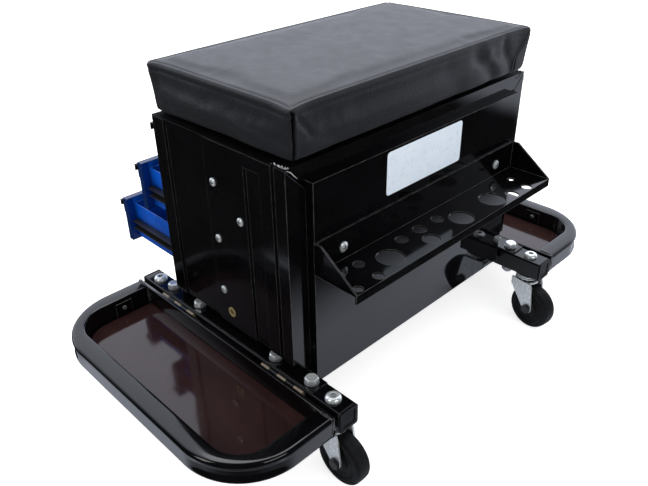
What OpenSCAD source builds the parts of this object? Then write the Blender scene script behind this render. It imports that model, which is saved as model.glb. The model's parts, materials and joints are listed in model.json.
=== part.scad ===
// Rolling creeper seat: an upholstered seat on a sheet steel cabinet with three drawers,
// two folding side trays, a rear tool rack and four swivel casters.
// The floor is z = 0, the drawers open towards -Y and the tool rack is at +Y.
// Drawers two and three stand open by their own named distances.

/* [Seat cushion] */
// Distance of the cushion's top seam inside the cabinet's sides
seat_side_in = 5; // [0:0.5:20]
// How far the cushion's top seam stands past the cabinet's front and rear
seat_past = 4; // [-6:0.5:6]
// Height of the cushion up to its top seam
seat_h = 50.5; // [36:0.5:70]
// Rise of the crown above the seam
seat_crown = 2.5; // [1:0.5:10]
// How far the sides are drawn in below the seam
seat_draw = 3; // [1:0.5:6]
// Radius of the cushion's corners in plan
seat_corner_r = 7; // [4:0.5:14]
// Thickness of the plywood board let into the underside of the cushion
board_t = 6; // [4:0.5:12]
// Distance of the board's edge inside the cushion's seam
board_inset = 16; // [10:1:30]
// Height of the spacers between cabinet and board
spacer_h = 4; // [2:0.5:8]

/* [Cabinet] */
// Outside width over the raised bands of the side panels
cab_w = 388; // [370:2:390]
// Outside depth from front edge to rear flange
cab_d = 210; // [200:2:230]
// Height of the cabinet shell
cab_h = 220.5; // [214:0.5:240]
// Sheet steel thickness
sheet = 1.2; // [0.8:0.1:1.5]
// Depth of the pressed steps in the side panels
rib_depth = 2.5; // [1.5:0.1:3]
// Width of the rear flanges of the side panels
flange_w = 24; // [18:1:30]
// Height of the band across the rear above the rear panel
band_h = 17.5; // [12:0.5:22]
// Width of the front returns of the side panels
front_return = 6.5; // [4:0.5:7]
// Height of the skirt in front of the cabinet floor
skirt_h = 31.5; // [20:0.5:32]

/* [Rear panel] */
// Distance that the rear panel stands proud of the flanges
pan_proud = 10; // [6:0.5:14]
// Depth of the folded sides of the rear panel
pan_return = 22; // [16:1:30]
// How far the rear panel reaches below the cabinet shell
pan_hang = 31; // [20:1:38]

/* [Base frame] */
// Outside size of the square base tubes
tube = 25; // [22:0.5:28]
// Wall of all square tubes
tube_wall = 1.5; // [1:0.1:2]
// Corner radius of all square tubes
tube_r = 2.5; // [1.6:0.1:3.5]
// Length of the base tubes without their caps
tube_len = 348; // [340:2:380]
// Distance of the base tubes' centre lines inside the cabinet's sides
tube_inset = 7; // [3:0.5:8]
// Height of the mounting rails between tubes and cabinet
rail_h = 16; // [14:0.5:20]
// Length of the mounting rails
rail_len = 272; // [266:2:280]
// Distance between the inner pair of frame bolts
bolt_gap_in = 138; // [110:2:150]
// Distance between the outer pair of frame bolts
bolt_gap_out = 248; // [240:1:254]

/* [Casters] */
// Diameter of the wheels
wheel_d = 60; // [50:1:62]
// Width of the wheels
wheel_w = 19; // [16:0.5:22]
// Height from the floor to the underside of the base tubes
caster_h = 76; // [76:0.5:90]
// Distance of the axle behind the swivel axis
trail = 15; // [10:0.5:20]
// Distance between the swivel axes of one base tube
caster_gap = 310; // [306:2:320]
// Angle that the rear right caster stands turned by
rear_right_turn = -8; // [-12:1:12]

/* [Side trays] */
// Reach of a tray from its hinge rail to its outer edge
tray_reach = 127; // [110:1:150]
// Length of a tray
tray_len = 350; // [320:2:360]
// Width of the tray frame's tube
tray_tube_w = 22; // [20:0.5:28]
// Outer corner radius of the tray frame
tray_corner_r = 76; // [50:1:84]
// Thickness of the hinge rail of a tray
tray_rail_t = 4; // [3:0.5:6]
// Thickness of the rubber mat in a tray
mat_t = 1.6; // [1:0.1:3]
// Length of each tray hinge
hinge_len = 64; // [40:1:80]
// Distance between the centres of the two hinges of a tray
hinge_gap = 189; // [150:1:210]
// Radius of the hinge knuckles
knuckle_r = 2.4; // [2.2:0.1:3]

/* [Drawers] */
// Distance from the topmost drawer front to the cabinet's top
drawer_headroom = 10.5; // [8:0.5:20]
// Gap between one drawer front and the next
front_gap = 5; // [3:0.5:8]
// Distance of the drawer fronts' ends inside the cabinet's sides
front_side_in = 6; // [4:0.5:9]
// Depth of the folded drawer fronts
front_depth = 8.5; // [6:0.5:12]
// Gap between a shut drawer box and the rear panel's folded sides
box_back_gap = 10.5; // [6:0.5:30]
// How much lower than its front a drawer's side walls end
box_low = 8; // [6:0.5:20]
// Reach of the pull in front of the drawer front
pull_reach = 8; // [6:0.5:12]
// Opening of the middle drawer
open_middle = 51; // [0:1:100]
// Opening of the bottom drawer
open_bottom = 104; // [0:1:110]

/* [Tool rack] */
// How far the tool rack stands past the rear panel at each side
rack_past = 1; // [0:0.5:3]
// Depth of the tool rack's shelf
rack_depth = 55; // [45:1:64]
// Height of the rack's back above its shelf
rack_back = 33.5; // [28:0.5:40]
// Drop of the lip at the shelf's front edge
rack_lip = 10; // [6:0.5:14]
// Depth of the shelf below the upper edge of the rear panel
rack_down = 95; // [90:1:120]
// Thickness of the rack's steel
rack_t = 2; // [1.5:0.1:3]

/* [Hidden] */
$fn = 48;
fine_sides = 96;
small_sides = 24;
hex_sides = 6;
overrun = 1;
touch_gap = 0.3;
run_fit = 0.08;
bolt_fit = 0.5;

// Heights worked out from the floor up
wheel_r = wheel_d / 2;
tube_bottom = caster_h;
tube_top = tube_bottom + tube;
cab_bottom = tube_top + rail_h;
cab_top = cab_bottom + cab_h;
board_bottom = cab_top + spacer_h;
cab_x = cab_w / 2;
cab_y = cab_d / 2;
seat_w = cab_w - 2 * seat_side_in;
seat_d = cab_d + 2 * seat_past;
front_w = cab_w - 2 * front_side_in;
tube_x = cab_x - tube_inset;
stem_y = caster_gap / 2;

// The whole object is centred on its own outline in Y
pull_total = front_depth + pull_reach;
drawer_gap = 0.5;
skirt_gap = 1.5;
front_reach = cab_y + drawer_gap + pull_total + open_bottom;
rear_reach = stem_y + trail + wheel_r;
y_mid = (front_reach - rear_reach) / 2;

// Side panel pressings: shares of the cabinet depth where the sheet steps out or in
rib_step_shares = [-0.4, -0.085, 0.22, 0.32, 0.41, 0.425];
rib_slope = 2;
groove_top_drop = 15.5;
flange_cut = 18;
mitre_gap = 0.4;
flange_foot = 3;
skirt_return = 12;
pan_lip = 6;

// Fasteners
bolt_d = 8;
bolt_af = 13;
bolt_head_h = 5.3;
washer_d = 16;
washer_t = 1.6;
nut_h = 6.5;
bolt_end = 3.5;
stem_bolt_d = 10;
stem_head_d = 17.5;
stem_head_h = 5.5;
stem_socket_af = 6;
screw_d = 5;
screw_head_d = 9;
screw_head_h = 3;
screw_slot_w = 1.2;
screw_slot_deep = 1.4;
dome_share = 0.75;
slot_share = 0.6;
socket_dome_share = 0.68;
spacer_d = 24;
spacer_in_x = 19;
spacer_in_y = 28;
insert_d = 12;
insert_bore = 7;
insert_h = 1.2;
insert_neck_d = 9;
insert_neck = 3;

// Casters
race_d = 30;
race_t = 4.5;
kingpin_d = 14;
kingpin_head_d = 20;
kingpin_head_t = 3;
fork_t = 2.5;
fork_top_r = 15;
ball_d = 3.4;
ball_count = 12;
ball_ring_r = 10.6;
ball_play = 0.08;
cheek_gap = 0.9;
cheek_foot_r = 6.5;
axle_d = 8;
axle_af = 11;
axle_nut_h = 4;
hub_d = 22;
wheel_recess = 2;
tyre_web_d = 44;
tyre_edge_r = 4;

// Slides
slide_w = 12.7;
slide_h = 20;
slide_t = 1.2;
slide_back_gap = 8.5;
slide_drop = 6;
rail_inner_h = 10.4;
rail_inner_w = 8;
outer_lip_w = 7.2;
cage_len = 50;
cage_t = 0.8;
cage_balls = 5;
cage_arm = 4.6;
slide_ball_d = 3.4;

// Drawers
box_t = 1;
box_floor_up = 3;
pull_t = 1.5;
pull_back_h = 20;
pull_drop = 5;
pull_hook = 8;

// Trays
tray_floor_t = 1.2;
tray_tab_w = 22;
tray_tab_h = 20;
tray_tab_t = 1;
rivet_d = 6;
rivet_shank_d = 3;
rivet_tail = 1;
rivet_up_share = 0.6;
hinge_pin_d = 2.8;
leaf_t = 1.2;
leaf_h = 19;
knuckle_play = 0.3;
knuckle_count = 5;
hinge_axis_drop = 2;

// Label plate and rack screws
label_w = 125;
label_h = 47.5;
label_t = 0.4;
label_corner_r = 4;
label_shift = 5.5;
label_drop = 3;
rack_screw_inset = 38;
rack_screw_up_share = 0.43;
rack_ear = 9;
rack_screw_d = 6;
rack_screw_head_d = 11;
rack_screw_head_h = 3.4;

// Tool holes: shares of the half width and of the shelf depth, and diameter as a share of the depth
rack_hole_shares = [
    [0.97, 0.9, 0.18], [0.79, 0.88, 0.22], [0.78, 0.34, 0.22], [0.59, 0.62, 0.54], [0.385, 0.34, 0.25],
    [0.25, 0.76, 0.36], [0.205, 0.34, 0.29], [0.02, 0.34, 0.26], [-0.105, 0.67, 0.51], [-0.47, 0.66, 0.56],
    [-0.63, 0.84, 0.28], [-0.8, 0.88, 0.22], [-0.83, 0.4, 0.15]];
rack_hole_edge = 3;

hinge_x = tube_x + tube / 2 + knuckle_r + touch_gap;
hinge_z = tube_top - hinge_axis_drop;
tray_x0 = hinge_x + knuckle_r + touch_gap;
tray_x1 = tray_x0 + tray_reach;
pan_y = cab_y + pan_proud;
pan_x = cab_x - flange_w;
pan_top = cab_top - band_h;
pan_bottom = cab_bottom - pan_hang;
rack_w = 2 * (pan_x + rack_past);
rack_z = pan_top - rack_down;
rib_x = cab_x - rib_depth;
inner_x = rib_x - sheet;
box_x = inner_x - slide_w;
front_y = -cab_y - drawer_gap;
skirt_bottom = tube_top + flange_foot;
skirt_top = skirt_bottom + skirt_h;
drawer_low = skirt_top + skirt_gap;
front_h = (cab_top - drawer_headroom - drawer_low - 2 * front_gap) / 3;
drawer_pitch = front_h + front_gap;
box_h = front_h - box_floor_up - box_low;
box_depth = pan_y - pan_return - box_back_gap - front_y;
drawer_open = [0, open_middle, open_bottom];
axle_z = wheel_r;
fork_top = caster_h - race_t - ball_d - 2 * ball_play;
rack_hole_count = len(rack_hole_shares);

// Finishes, each of which also sets the object down centred in Y
module set_down() translate([0, y_mid, 0]) children();
module black_paint() color([0.04, 0.04, 0.05]) set_down() children();
module black_vinyl() color([0.13, 0.13, 0.14]) set_down() children();
module plywood() color([0.72, 0.57, 0.38]) set_down() children();
module blue_paint() color([0.05, 0.33, 0.72]) set_down() children();
module zinc() color([0.78, 0.80, 0.82]) set_down() children();
module black_plastic() color([0.07, 0.07, 0.08]) set_down() children();
module black_rubber() color([0.05, 0.05, 0.05]) set_down() children();
module brown_mat() color([0.17, 0.08, 0.08]) set_down() children();
module brass() color([0.72, 0.58, 0.25]) set_down() children();
module label_white() color([0.93, 0.93, 0.93]) set_down() children();

// Shared shapes
module block(from, to) translate(from) cube(to - from);
module both_sides() for (side = [0, 1]) mirror([side, 0, 0]) children();
module rounded_rect(w, h, r)
    union() {
        square([w, h - 2 * r], center = true);
        square([w - 2 * r, h], center = true);
        for (x = [-1, 1], y = [-1, 1])
            translate([x * (w / 2 - r), y * (h / 2 - r)]) circle(r = r, $fn = small_sides);
    }
module tube_section(w, h)
    difference() {
        rounded_rect(w, h, tube_r);
        rounded_rect(w - 2 * tube_wall, h - 2 * tube_wall, tube_r - tube_wall);
    }
module along_y(length) rotate([90, 0, 0]) translate([0, 0, -length / 2]) linear_extrude(length) children();
module rod_y(r, length) rotate([90, 0, 0]) cylinder(r = r, h = length, center = true);
module rod_x(r, length) rotate([0, 90, 0]) cylinder(r = r, h = length, center = true);
module hex(af, h) cylinder(d = af / cos(180 / hex_sides), h = h, $fn = hex_sides);
module screw(head_d, head_h, d, length)
    difference() {
        union() {
            intersection() {
                cylinder(d = head_d, h = head_h);
                translate([0, 0, head_h - head_d * dome_share]) sphere(r = head_d * dome_share);
            }
            translate([0, 0, -length]) cylinder(d = d, h = length + head_h / 2);
        }
        for (turn = [0, 90])
            rotate([0, 0, turn]) translate([0, 0, head_h])
                cube([head_d * slot_share, screw_slot_w, 2 * screw_slot_deep], center = true);
    }

// Cushion: one closed skin with a crowned top, a seam ridge and sides that draw in
cushion_arc_steps = 5;
cushion_side_steps = 6;
cushion_level_shares = [[0, 0.9], [0.03, 0.4], [0.15, 0.5], [0.4, 0.75], [0.65, 0.7], [0.85, 0.35],
                        [0.94, 0.05], [0.97, 0], [1, 0.2], [1.01, 0.9]];
cushion_crown_shares = [0.94, 0.84, 0.66, 0.42, 0.2];
cushion_bow = 1.6;

function arc_points(cx, cy, r, from) =
    [for (k = [0 : cushion_arc_steps]) let (a = from + 90 * k / cushion_arc_steps)
        [cx + r * cos(a), cy + r * sin(a)]];
function side_points(a, b, nx, ny, bow) =
    [for (k = [1 : cushion_side_steps - 1])
        let (t = k / cushion_side_steps, inward = bow * sin(180 * t))
            [a[0] + (b[0] - a[0]) * t - nx * inward, a[1] + (b[1] - a[1]) * t - ny * inward]];
function outline(hx, hy, r, bow) = concat(
    arc_points(hx - r, hy - r, r, 0),
    side_points([hx - r, hy], [r - hx, hy], 0, 1, bow),
    arc_points(r - hx, hy - r, r, 90),
    side_points([-hx, hy - r], [-hx, r - hy], -1, 0, bow),
    arc_points(r - hx, r - hy, r, 180),
    side_points([r - hx, -hy], [hx - r, -hy], 0, -1, bow),
    arc_points(hx - r, r - hy, r, 270),
    side_points([hx, r - hy], [hx, hy - r], 1, 0, bow));
function at_height(flat, z) = [for (p = flat) [p[0], p[1], z]];
function cushion_level(level) =
    let (inset = level[1] * seat_draw, bow = cushion_bow * max(0, sin(180 * min(1, level[0]))))
        at_height(outline(seat_w / 2 - inset, seat_d / 2 - inset, seat_corner_r, bow), level[0] * seat_h);
function cushion_crown(share) =
    let (last = len(cushion_level_shares) - 1,
         inset = cushion_level_shares[last][1] * seat_draw,
         base = outline(seat_w / 2 - inset, seat_d / 2 - inset, seat_corner_r, 0))
        [for (p = base) [p[0] * share, p[1] * share,
            seat_h * cushion_level_shares[last][0] + seat_crown * (1 - pow(share, 3))]];

module seat_cushion() {
    rings = concat([for (level = cushion_level_shares) cushion_level(level)],
                   [for (share = cushion_crown_shares) cushion_crown(share)]);
    count = len(rings[0]);
    ring_last = len(rings) - 1;
    top_centre = count * (ring_last + 1);
    low_centre = top_centre + 1;
    points = concat([for (ring = rings) each ring],
        [[0, 0, seat_h * cushion_level_shares[len(cushion_level_shares) - 1][0] + seat_crown], [0, 0, 0]]);
    side_faces = [for (j = [0 : ring_last - 1], i = [0 : count - 1])
        let (n = (i + 1) % count, low = j * count, high = low + count)
            each [[low + i, high + n, low + n], [low + i, high + i, high + n]]];
    caps = [for (i = [0 : count - 1]) let (n = (i + 1) % count)
        each [[ring_last * count + i, top_centre, ring_last * count + n], [n, low_centre, i]]];
    black_vinyl() difference() {
        translate([0, 0, board_bottom]) polyhedron(points = points, faces = concat(side_faces, caps));
        block([-board_x - touch_gap, -board_y - touch_gap, board_bottom - overrun],
              [board_x + touch_gap, board_y + touch_gap, board_bottom + board_t + touch_gap]);
    }
}

board_x = seat_w / 2 - board_inset;
board_y = seat_d / 2 - board_inset;
module at_spacers() for (x = [-1, 1], y = [-1, 1])
    translate([x * (board_x - spacer_in_x), y * (board_y - spacer_in_y), cab_top - sheet]) children();
module screw_hole(d, length) translate([0, 0, -overrun]) cylinder(d = d, h = length + overrun);
module seat_board()
    plywood() difference() {
        block([-board_x, -board_y, board_bottom], [board_x, board_y, board_bottom + board_t]);
        at_spacers() screw_hole(screw_d + 2 * run_fit, seat_screw_len);
    }

// Four steel washers carry the board above the cabinet
module seat_spacers()
    zinc() at_spacers() difference() {
        translate([0, 0, sheet]) cylinder(d = spacer_d, h = spacer_h);
        screw_hole(screw_d + bolt_fit, sheet + spacer_h + overrun);
    }

module cabinet_top()
    black_paint() difference() {
        union() {
            block([-cab_x, -cab_y, cab_top - sheet], [cab_x, cab_y, cab_top]);
            translate([0, cab_y, cab_top]) rotate([90, 0, 0]) linear_extrude(sheet)
                polygon([[-cab_x, 0], [cab_x, 0], [cab_x - band_h, -band_h], [band_h - cab_x, -band_h]]);
            block([front_return - cab_x, -cab_y, cab_top - band_h / 2],
                  [cab_x - front_return, sheet - cab_y, cab_top - sheet]);
        }
        at_spacers() screw_hole(screw_d + bolt_fit, sheet + overrun);
    }

// Plan outline of a side panel's outer face, stepping in and out along the depth
function rib_points(first, shift, with_groove) = concat(
    [[cab_x - shift, first]],
    [for (k = [0 : len(rib_step_shares) - 1])
        let (y = rib_step_shares[k] * cab_d, inward = k % 2 == 0, skip = !with_groove && (k == 2 || k == 3))
            if (!skip) each [[(inward ? cab_x : rib_x) - shift, y - rib_slope / 2],
                             [(inward ? rib_x : cab_x) - shift, y + rib_slope / 2]]],
    [[cab_x - shift, -first]]);
function reversed(list) = [for (k = [len(list) - 1 : -1 : 0]) list[k]];
module side_skin(with_groove)
    polygon(concat(rib_points(-cab_y, 0, with_groove), reversed(rib_points(-cab_y, sheet, with_groove))));

groove_top = cab_top - groove_top_drop;
screw_tail = 4;
slide_screw_len = rib_depth + 2 * sheet;
seat_screw_len = sheet + spacer_h + board_t;
screw_y_share = -0.02;
upper_screw_shares = [0.17, 0.65];
insert_shares = [0.032, 0.085];
module side_panel_at_plus_x() {
    shell_top = cab_top - sheet;
    difference() {
        union() {
            translate([0, 0, cab_bottom]) linear_extrude(groove_top - cab_bottom) side_skin(true);
            translate([0, 0, groove_top]) linear_extrude(shell_top - groove_top) side_skin(false);
            block([rib_x - sheet, rib_step_shares[2] * cab_d - rib_slope / 2, groove_top],
                  [cab_x, rib_step_shares[3] * cab_d + rib_slope / 2, groove_top + sheet]);
            block([pan_x, sheet - cab_y, cab_bottom], [rib_x, cab_y - sheet, cab_bottom + sheet]);
            block([cab_x - front_return, -cab_y, cab_bottom], [cab_x - sheet, sheet - cab_y, shell_top]);
            translate([0, cab_y, 0]) rotate([90, 0, 0]) linear_extrude(sheet)
                polygon([[cab_x, cab_top - sheet - 2 * mitre_gap],
                         [pan_x, cab_top - sheet - 2 * mitre_gap - flange_w],
                         [pan_x, tube_top + flange_foot],
                         [cab_x - flange_cut, tube_top + flange_foot],
                         [cab_x, tube_top + flange_foot + flange_cut]]);
        }
        at_slide_screws() translate([0, 0, -screw_tail])
            screw_hole(screw_d + 2 * run_fit, screw_tail + overrun);
        translate([cab_x, upper_screw_shares[0] * cab_d, cab_bottom + upper_screw_shares[1] * cab_h])
            rod_x(screw_d / 2 + run_fit, 2 * screw_tail);
        translate([cab_x, insert_shares[0] * cab_d, cab_bottom + insert_shares[1] * cab_h])
            rod_x(insert_neck_d / 2, 2 * screw_tail);
    }
}
module side_panel_left() black_paint() side_panel_at_plus_x();
module side_panel_right() black_paint() mirror([1, 0, 0]) side_panel_at_plus_x();

module rear_panel()
    black_paint() difference() {
        block([-pan_x, pan_y - pan_return, pan_bottom], [pan_x, pan_y, pan_top]);
        block([sheet - pan_x, pan_y - pan_return - overrun, pan_bottom - overrun],
              [pan_x - sheet, pan_y - pan_lip, pan_top - sheet]);
        block([sheet - pan_x, pan_y - pan_lip - overrun, pan_bottom + sheet],
              [pan_x - sheet, pan_y - sheet, pan_top - sheet]);
        at_rack_screws() translate([0, 0, -rack_t - screw_tail])
            screw_hole(rack_screw_d + 2 * run_fit, screw_tail + overrun);
    }

module cabinet_floor()
    black_paint() block([-inner_x + touch_gap, sheet - cab_y, cab_bottom + sheet],
                        [inner_x - touch_gap, pan_y - pan_return - touch_gap, cab_bottom + 2 * sheet]);

module front_skirt()
    black_paint() union() {
        block([-front_w / 2, -cab_y - sheet, skirt_bottom], [front_w / 2, -cab_y, skirt_top]);
        block([front_return - cab_x, -cab_y - sheet, skirt_top - sheet],
              [cab_x - front_return, skirt_return - cab_y, skirt_top]);
    }

// Rails that carry the cabinet on the base tubes
rail_t = 2;
rail_inset = 1.5;
module mounting_rails() {
    x0 = tube_x - tube / 2 + rail_inset;
    x1 = tube_x + tube / 2 - rail_inset;
    web_y = cab_y - 2 * sheet;
    black_paint() both_sides() difference() {
        union() {
            block([x0, -rail_len / 2, tube_top], [x1, rail_len / 2, tube_top + rail_t]);
            block([x0, -web_y, tube_top], [x0 + rail_t, web_y, cab_bottom]);
            block([x0, -web_y, cab_bottom - rail_t], [inner_x, web_y, cab_bottom]);
        }
        for (y = frame_bolt_places)
            translate([tube_x, y, tube_top]) screw_hole(bolt_d + bolt_fit, rail_t + overrun);
    }
}

frame_bolt_places = [-bolt_gap_out / 2, -bolt_gap_in / 2, bolt_gap_in / 2, bolt_gap_out / 2];
module base_tube()
    difference() {
        translate([tube_x, 0, tube_bottom + tube / 2]) along_y(tube_len) tube_section(tube, tube);
        for (y = frame_bolt_places)
            translate([tube_x, y, tube_bottom]) screw_hole(bolt_d + bolt_fit, tube + overrun);
        for (y = [-stem_y, stem_y])
            translate([tube_x, y, tube_bottom]) screw_hole(stem_bolt_d + bolt_fit, tube + overrun);
    }
module base_tube_left() black_paint() base_tube();
module base_tube_right() black_paint() mirror([1, 0, 0]) base_tube();

cap_t = 3;
cap_plug = 8;
cap_rim = 2;
module tube_end_caps()
    black_plastic() for (x = [-1, 1], y = [-1, 1])
        translate([x * tube_x, y * (tube_len / 2 + cap_t / 2), tube_bottom + tube / 2]) {
            difference() {
                along_y(cap_t) rounded_rect(tube, tube, tube_r);
                translate([0, y * cap_t / 2, 0]) along_y(cap_t / 2)
                    rounded_rect(tube - 4 * cap_rim, tube - 4 * cap_rim, cap_rim);
            }
            translate([0, -y * (cap_t + cap_plug) / 2, 0])
                along_y(cap_plug) square(tube - 2 * tube_wall - 2 * touch_gap, center = true);
        }

bolt_seat = tube_top + rail_t + washer_t;
module frame_bolt()
    union() {
        difference() {
            hex(bolt_af, bolt_head_h);
            translate([0, 0, bolt_head_h - washer_t / 2]) cylinder(d = bolt_d * 0.8, h = washer_t);
        }
        translate([0, 0, tube_bottom - washer_t - nut_h - bolt_end - bolt_seat])
            cylinder(d = bolt_d, h = bolt_seat - tube_bottom + washer_t + nut_h + bolt_end + overrun);
    }
module frame_bolts()
    zinc() both_sides() for (y = frame_bolt_places) translate([tube_x, y, bolt_seat]) frame_bolt();
module washer()
    difference() {
        cylinder(d = washer_d, h = washer_t);
        translate([0, 0, -overrun]) cylinder(d = bolt_d + bolt_fit, h = washer_t + 2 * overrun);
    }
module nut()
    difference() {
        hex(bolt_af, nut_h);
        translate([0, 0, -overrun]) cylinder(d = bolt_d + 2 * run_fit, h = nut_h + 2 * overrun);
    }
module frame_nuts_and_washers()
    zinc() both_sides() for (y = frame_bolt_places) {
        translate([tube_x, y, tube_top + rail_t]) washer();
        translate([tube_x, y, tube_bottom - washer_t]) washer();
        translate([tube_x, y, tube_bottom - washer_t - run_fit - nut_h]) nut();
    }

module at_casters() for (x = [-1, 1], y = [-1, 1]) translate([x * tube_x, y * stem_y, 0]) children();
stem_bottom = fork_top + race_t / 3;
kingpin_low = fork_top - fork_t - touch_gap;
module caster_bolts()
    zinc() at_casters() difference() {
        union() {
            translate([0, 0, tube_top]) intersection() {
                cylinder(d = stem_head_d, h = stem_head_h);
                translate([0, 0, stem_head_h - stem_head_d * socket_dome_share])
                    sphere(r = stem_head_d * socket_dome_share);
            }
            translate([0, 0, stem_bottom]) cylinder(d = stem_bolt_d, h = tube_top - stem_bottom + overrun);
        }
        translate([0, 0, tube_top + stem_head_h / 3]) hex(stem_socket_af, stem_head_h);
    }
module caster_kingpins()
    zinc() at_casters() difference() {
        union() {
            translate([0, 0, caster_h - race_t]) cylinder(d = race_d, h = race_t, $fn = fine_sides);
            translate([0, 0, kingpin_low])
                cylinder(d = kingpin_d, h = caster_h - race_t - kingpin_low + overrun);
            translate([0, 0, kingpin_low - kingpin_head_t]) cylinder(d = kingpin_head_d, h = kingpin_head_t);
        }
        translate([0, 0, stem_bottom - run_fit]) cylinder(d = stem_bolt_d + 2 * run_fit, h = caster_h);
    }
module caster_balls()
    zinc() at_casters() for (k = [0 : ball_count - 1])
        rotate([0, 0, 360 * k / ball_count]) translate([ball_ring_r, 0, fork_top + ball_play + ball_d / 2])
            sphere(d = ball_d, $fn = small_sides);

// One caster stands on its swivel axis with the wheel trailing towards +Y
cheek_x = wheel_w / 2 + cheek_gap;
module caster_fork() {
    difference() {
        union() {
            translate([0, 0, fork_top - fork_t]) intersection() {
                cylinder(r = cheek_x + 2 * fork_t, h = fork_t);
                block([-cheek_x - fork_t, -fork_top_r - fork_t, -overrun],
                      [cheek_x + fork_t, fork_top_r + fork_t, fork_t + overrun]);
            }
            for (side = [-1, 1])
                translate([side * (cheek_x + fork_t / 2) - fork_t / 2, 0, 0])
                    rotate([90, 0, 90]) linear_extrude(fork_t) union() {
                        polygon([[-fork_top_r, fork_top], [fork_top_r, fork_top],
                                 [fork_top_r + fork_t, fork_top - 3 * fork_t],
                                 [trail + cheek_foot_r, axle_z], [trail - cheek_foot_r, axle_z - fork_t],
                                 [-fork_top_r, fork_top - 4 * fork_t]]);
                        translate([trail, axle_z]) circle(r = cheek_foot_r);
                    }
        }
        translate([0, 0, fork_top - fork_t - overrun])
            cylinder(d = kingpin_d + 2 * run_fit, h = fork_t + 2 * overrun);
        translate([0, trail, axle_z]) rod_x(axle_d / 2 + run_fit, 4 * wheel_w);
    }
}
module caster_wheel()
    translate([0, trail, axle_z]) rotate([0, 90, 0]) rotate_extrude($fn = fine_sides) union() {
        translate([axle_d / 2 + run_fit, -wheel_w / 2 - cheek_gap / 2])
            square([hub_d / 2 - axle_d / 2 - run_fit, wheel_w + cheek_gap]);
        translate([axle_d / 2 + run_fit + overrun, wheel_recess - wheel_w / 2])
            square([wheel_r - axle_d / 2 - run_fit - overrun - tyre_edge_r, wheel_w - 2 * wheel_recess]);
        translate([tyre_web_d / 2, -wheel_w / 2]) square([wheel_r - tyre_edge_r - tyre_web_d / 2, wheel_w]);
        translate([tyre_web_d / 2, tyre_edge_r - wheel_w / 2])
            square([wheel_r - tyre_web_d / 2, wheel_w - 2 * tyre_edge_r]);
        for (side = [-1, 1])
            translate([wheel_r - tyre_edge_r, side * (wheel_w / 2 - tyre_edge_r)])
                circle(r = tyre_edge_r, $fn = small_sides);
    }
module caster_axle() {
    reach = cheek_x + fork_t;
    translate([0, trail, axle_z]) union() {
        rod_x(axle_d / 2, 2 * reach + axle_nut_h);
        translate([reach, 0, 0]) rotate([0, 90, 0]) hex(axle_af, axle_nut_h);
        translate([-reach - axle_nut_h, 0, 0]) rotate([0, 90, 0]) hex(axle_af, axle_nut_h);
    }
}
module place_caster(x, y, turn = 0) translate([x * tube_x, y * stem_y, 0]) rotate([0, 0, turn]) children();
module rear_left_fork() zinc() place_caster(1, 1) caster_fork();
module rear_left_wheel() black_rubber() place_caster(1, 1) caster_wheel();
module rear_left_axle() zinc() place_caster(1, 1) caster_axle();
module rear_right_fork() zinc() place_caster(-1, 1, rear_right_turn) caster_fork();
module rear_right_wheel() black_rubber() place_caster(-1, 1, rear_right_turn) caster_wheel();
module rear_right_axle() zinc() place_caster(-1, 1, rear_right_turn) caster_axle();
module front_left_fork() zinc() place_caster(1, -1) caster_fork();
module front_left_wheel() black_rubber() place_caster(1, -1) caster_wheel();
module front_left_axle() zinc() place_caster(1, -1) caster_axle();
module front_right_fork() zinc() place_caster(-1, -1) caster_fork();
module front_right_wheel() black_rubber() place_caster(-1, -1) caster_wheel();
module front_right_axle() zinc() place_caster(-1, -1) caster_axle();

// Screws through the side panels: one per slide rail and one above, each side
module at_slide_screws()
    for (k = [0 : 2]) translate([cab_x, screw_y_share * cab_d, slide_z(k)]) rotate([0, 90, 0]) children();
module at_rack_screws()
    for (side = [-1, 1])
        translate([side * (rack_w / 2 - rack_screw_inset), pan_y + rack_t,
                   rack_z + rack_back * rack_screw_up_share])
            rotate([-90, 0, 0]) children();
module cabinet_screws()
    zinc() union() {
        both_sides() {
            at_slide_screws() screw(screw_head_d, screw_head_h, screw_d, slide_screw_len);
            translate([cab_x, upper_screw_shares[0] * cab_d, cab_bottom + upper_screw_shares[1] * cab_h])
                rotate([0, 90, 0]) screw(screw_head_d, screw_head_h, screw_d, screw_tail);
        }
        at_spacers() mirror([0, 0, 1]) screw(screw_head_d, screw_head_h, screw_d, seat_screw_len - overrun);
        at_rack_screws() screw(rack_screw_head_d, rack_screw_head_h, rack_screw_d, rack_t + screw_tail);
    }

module side_inserts()
    brass() both_sides()
        translate([cab_x, insert_shares[0] * cab_d, cab_bottom + insert_shares[1] * cab_h]) rotate([0, 90, 0])
            difference() {
                union() {
                    cylinder(d = insert_d, h = insert_h);
                    translate([0, 0, -insert_neck])
                        cylinder(d = insert_neck_d - 2 * run_fit, h = insert_neck + insert_h);
                }
                translate([0, 0, -insert_neck]) screw_hole(insert_bore, insert_neck + insert_h + overrun);
            }

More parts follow.
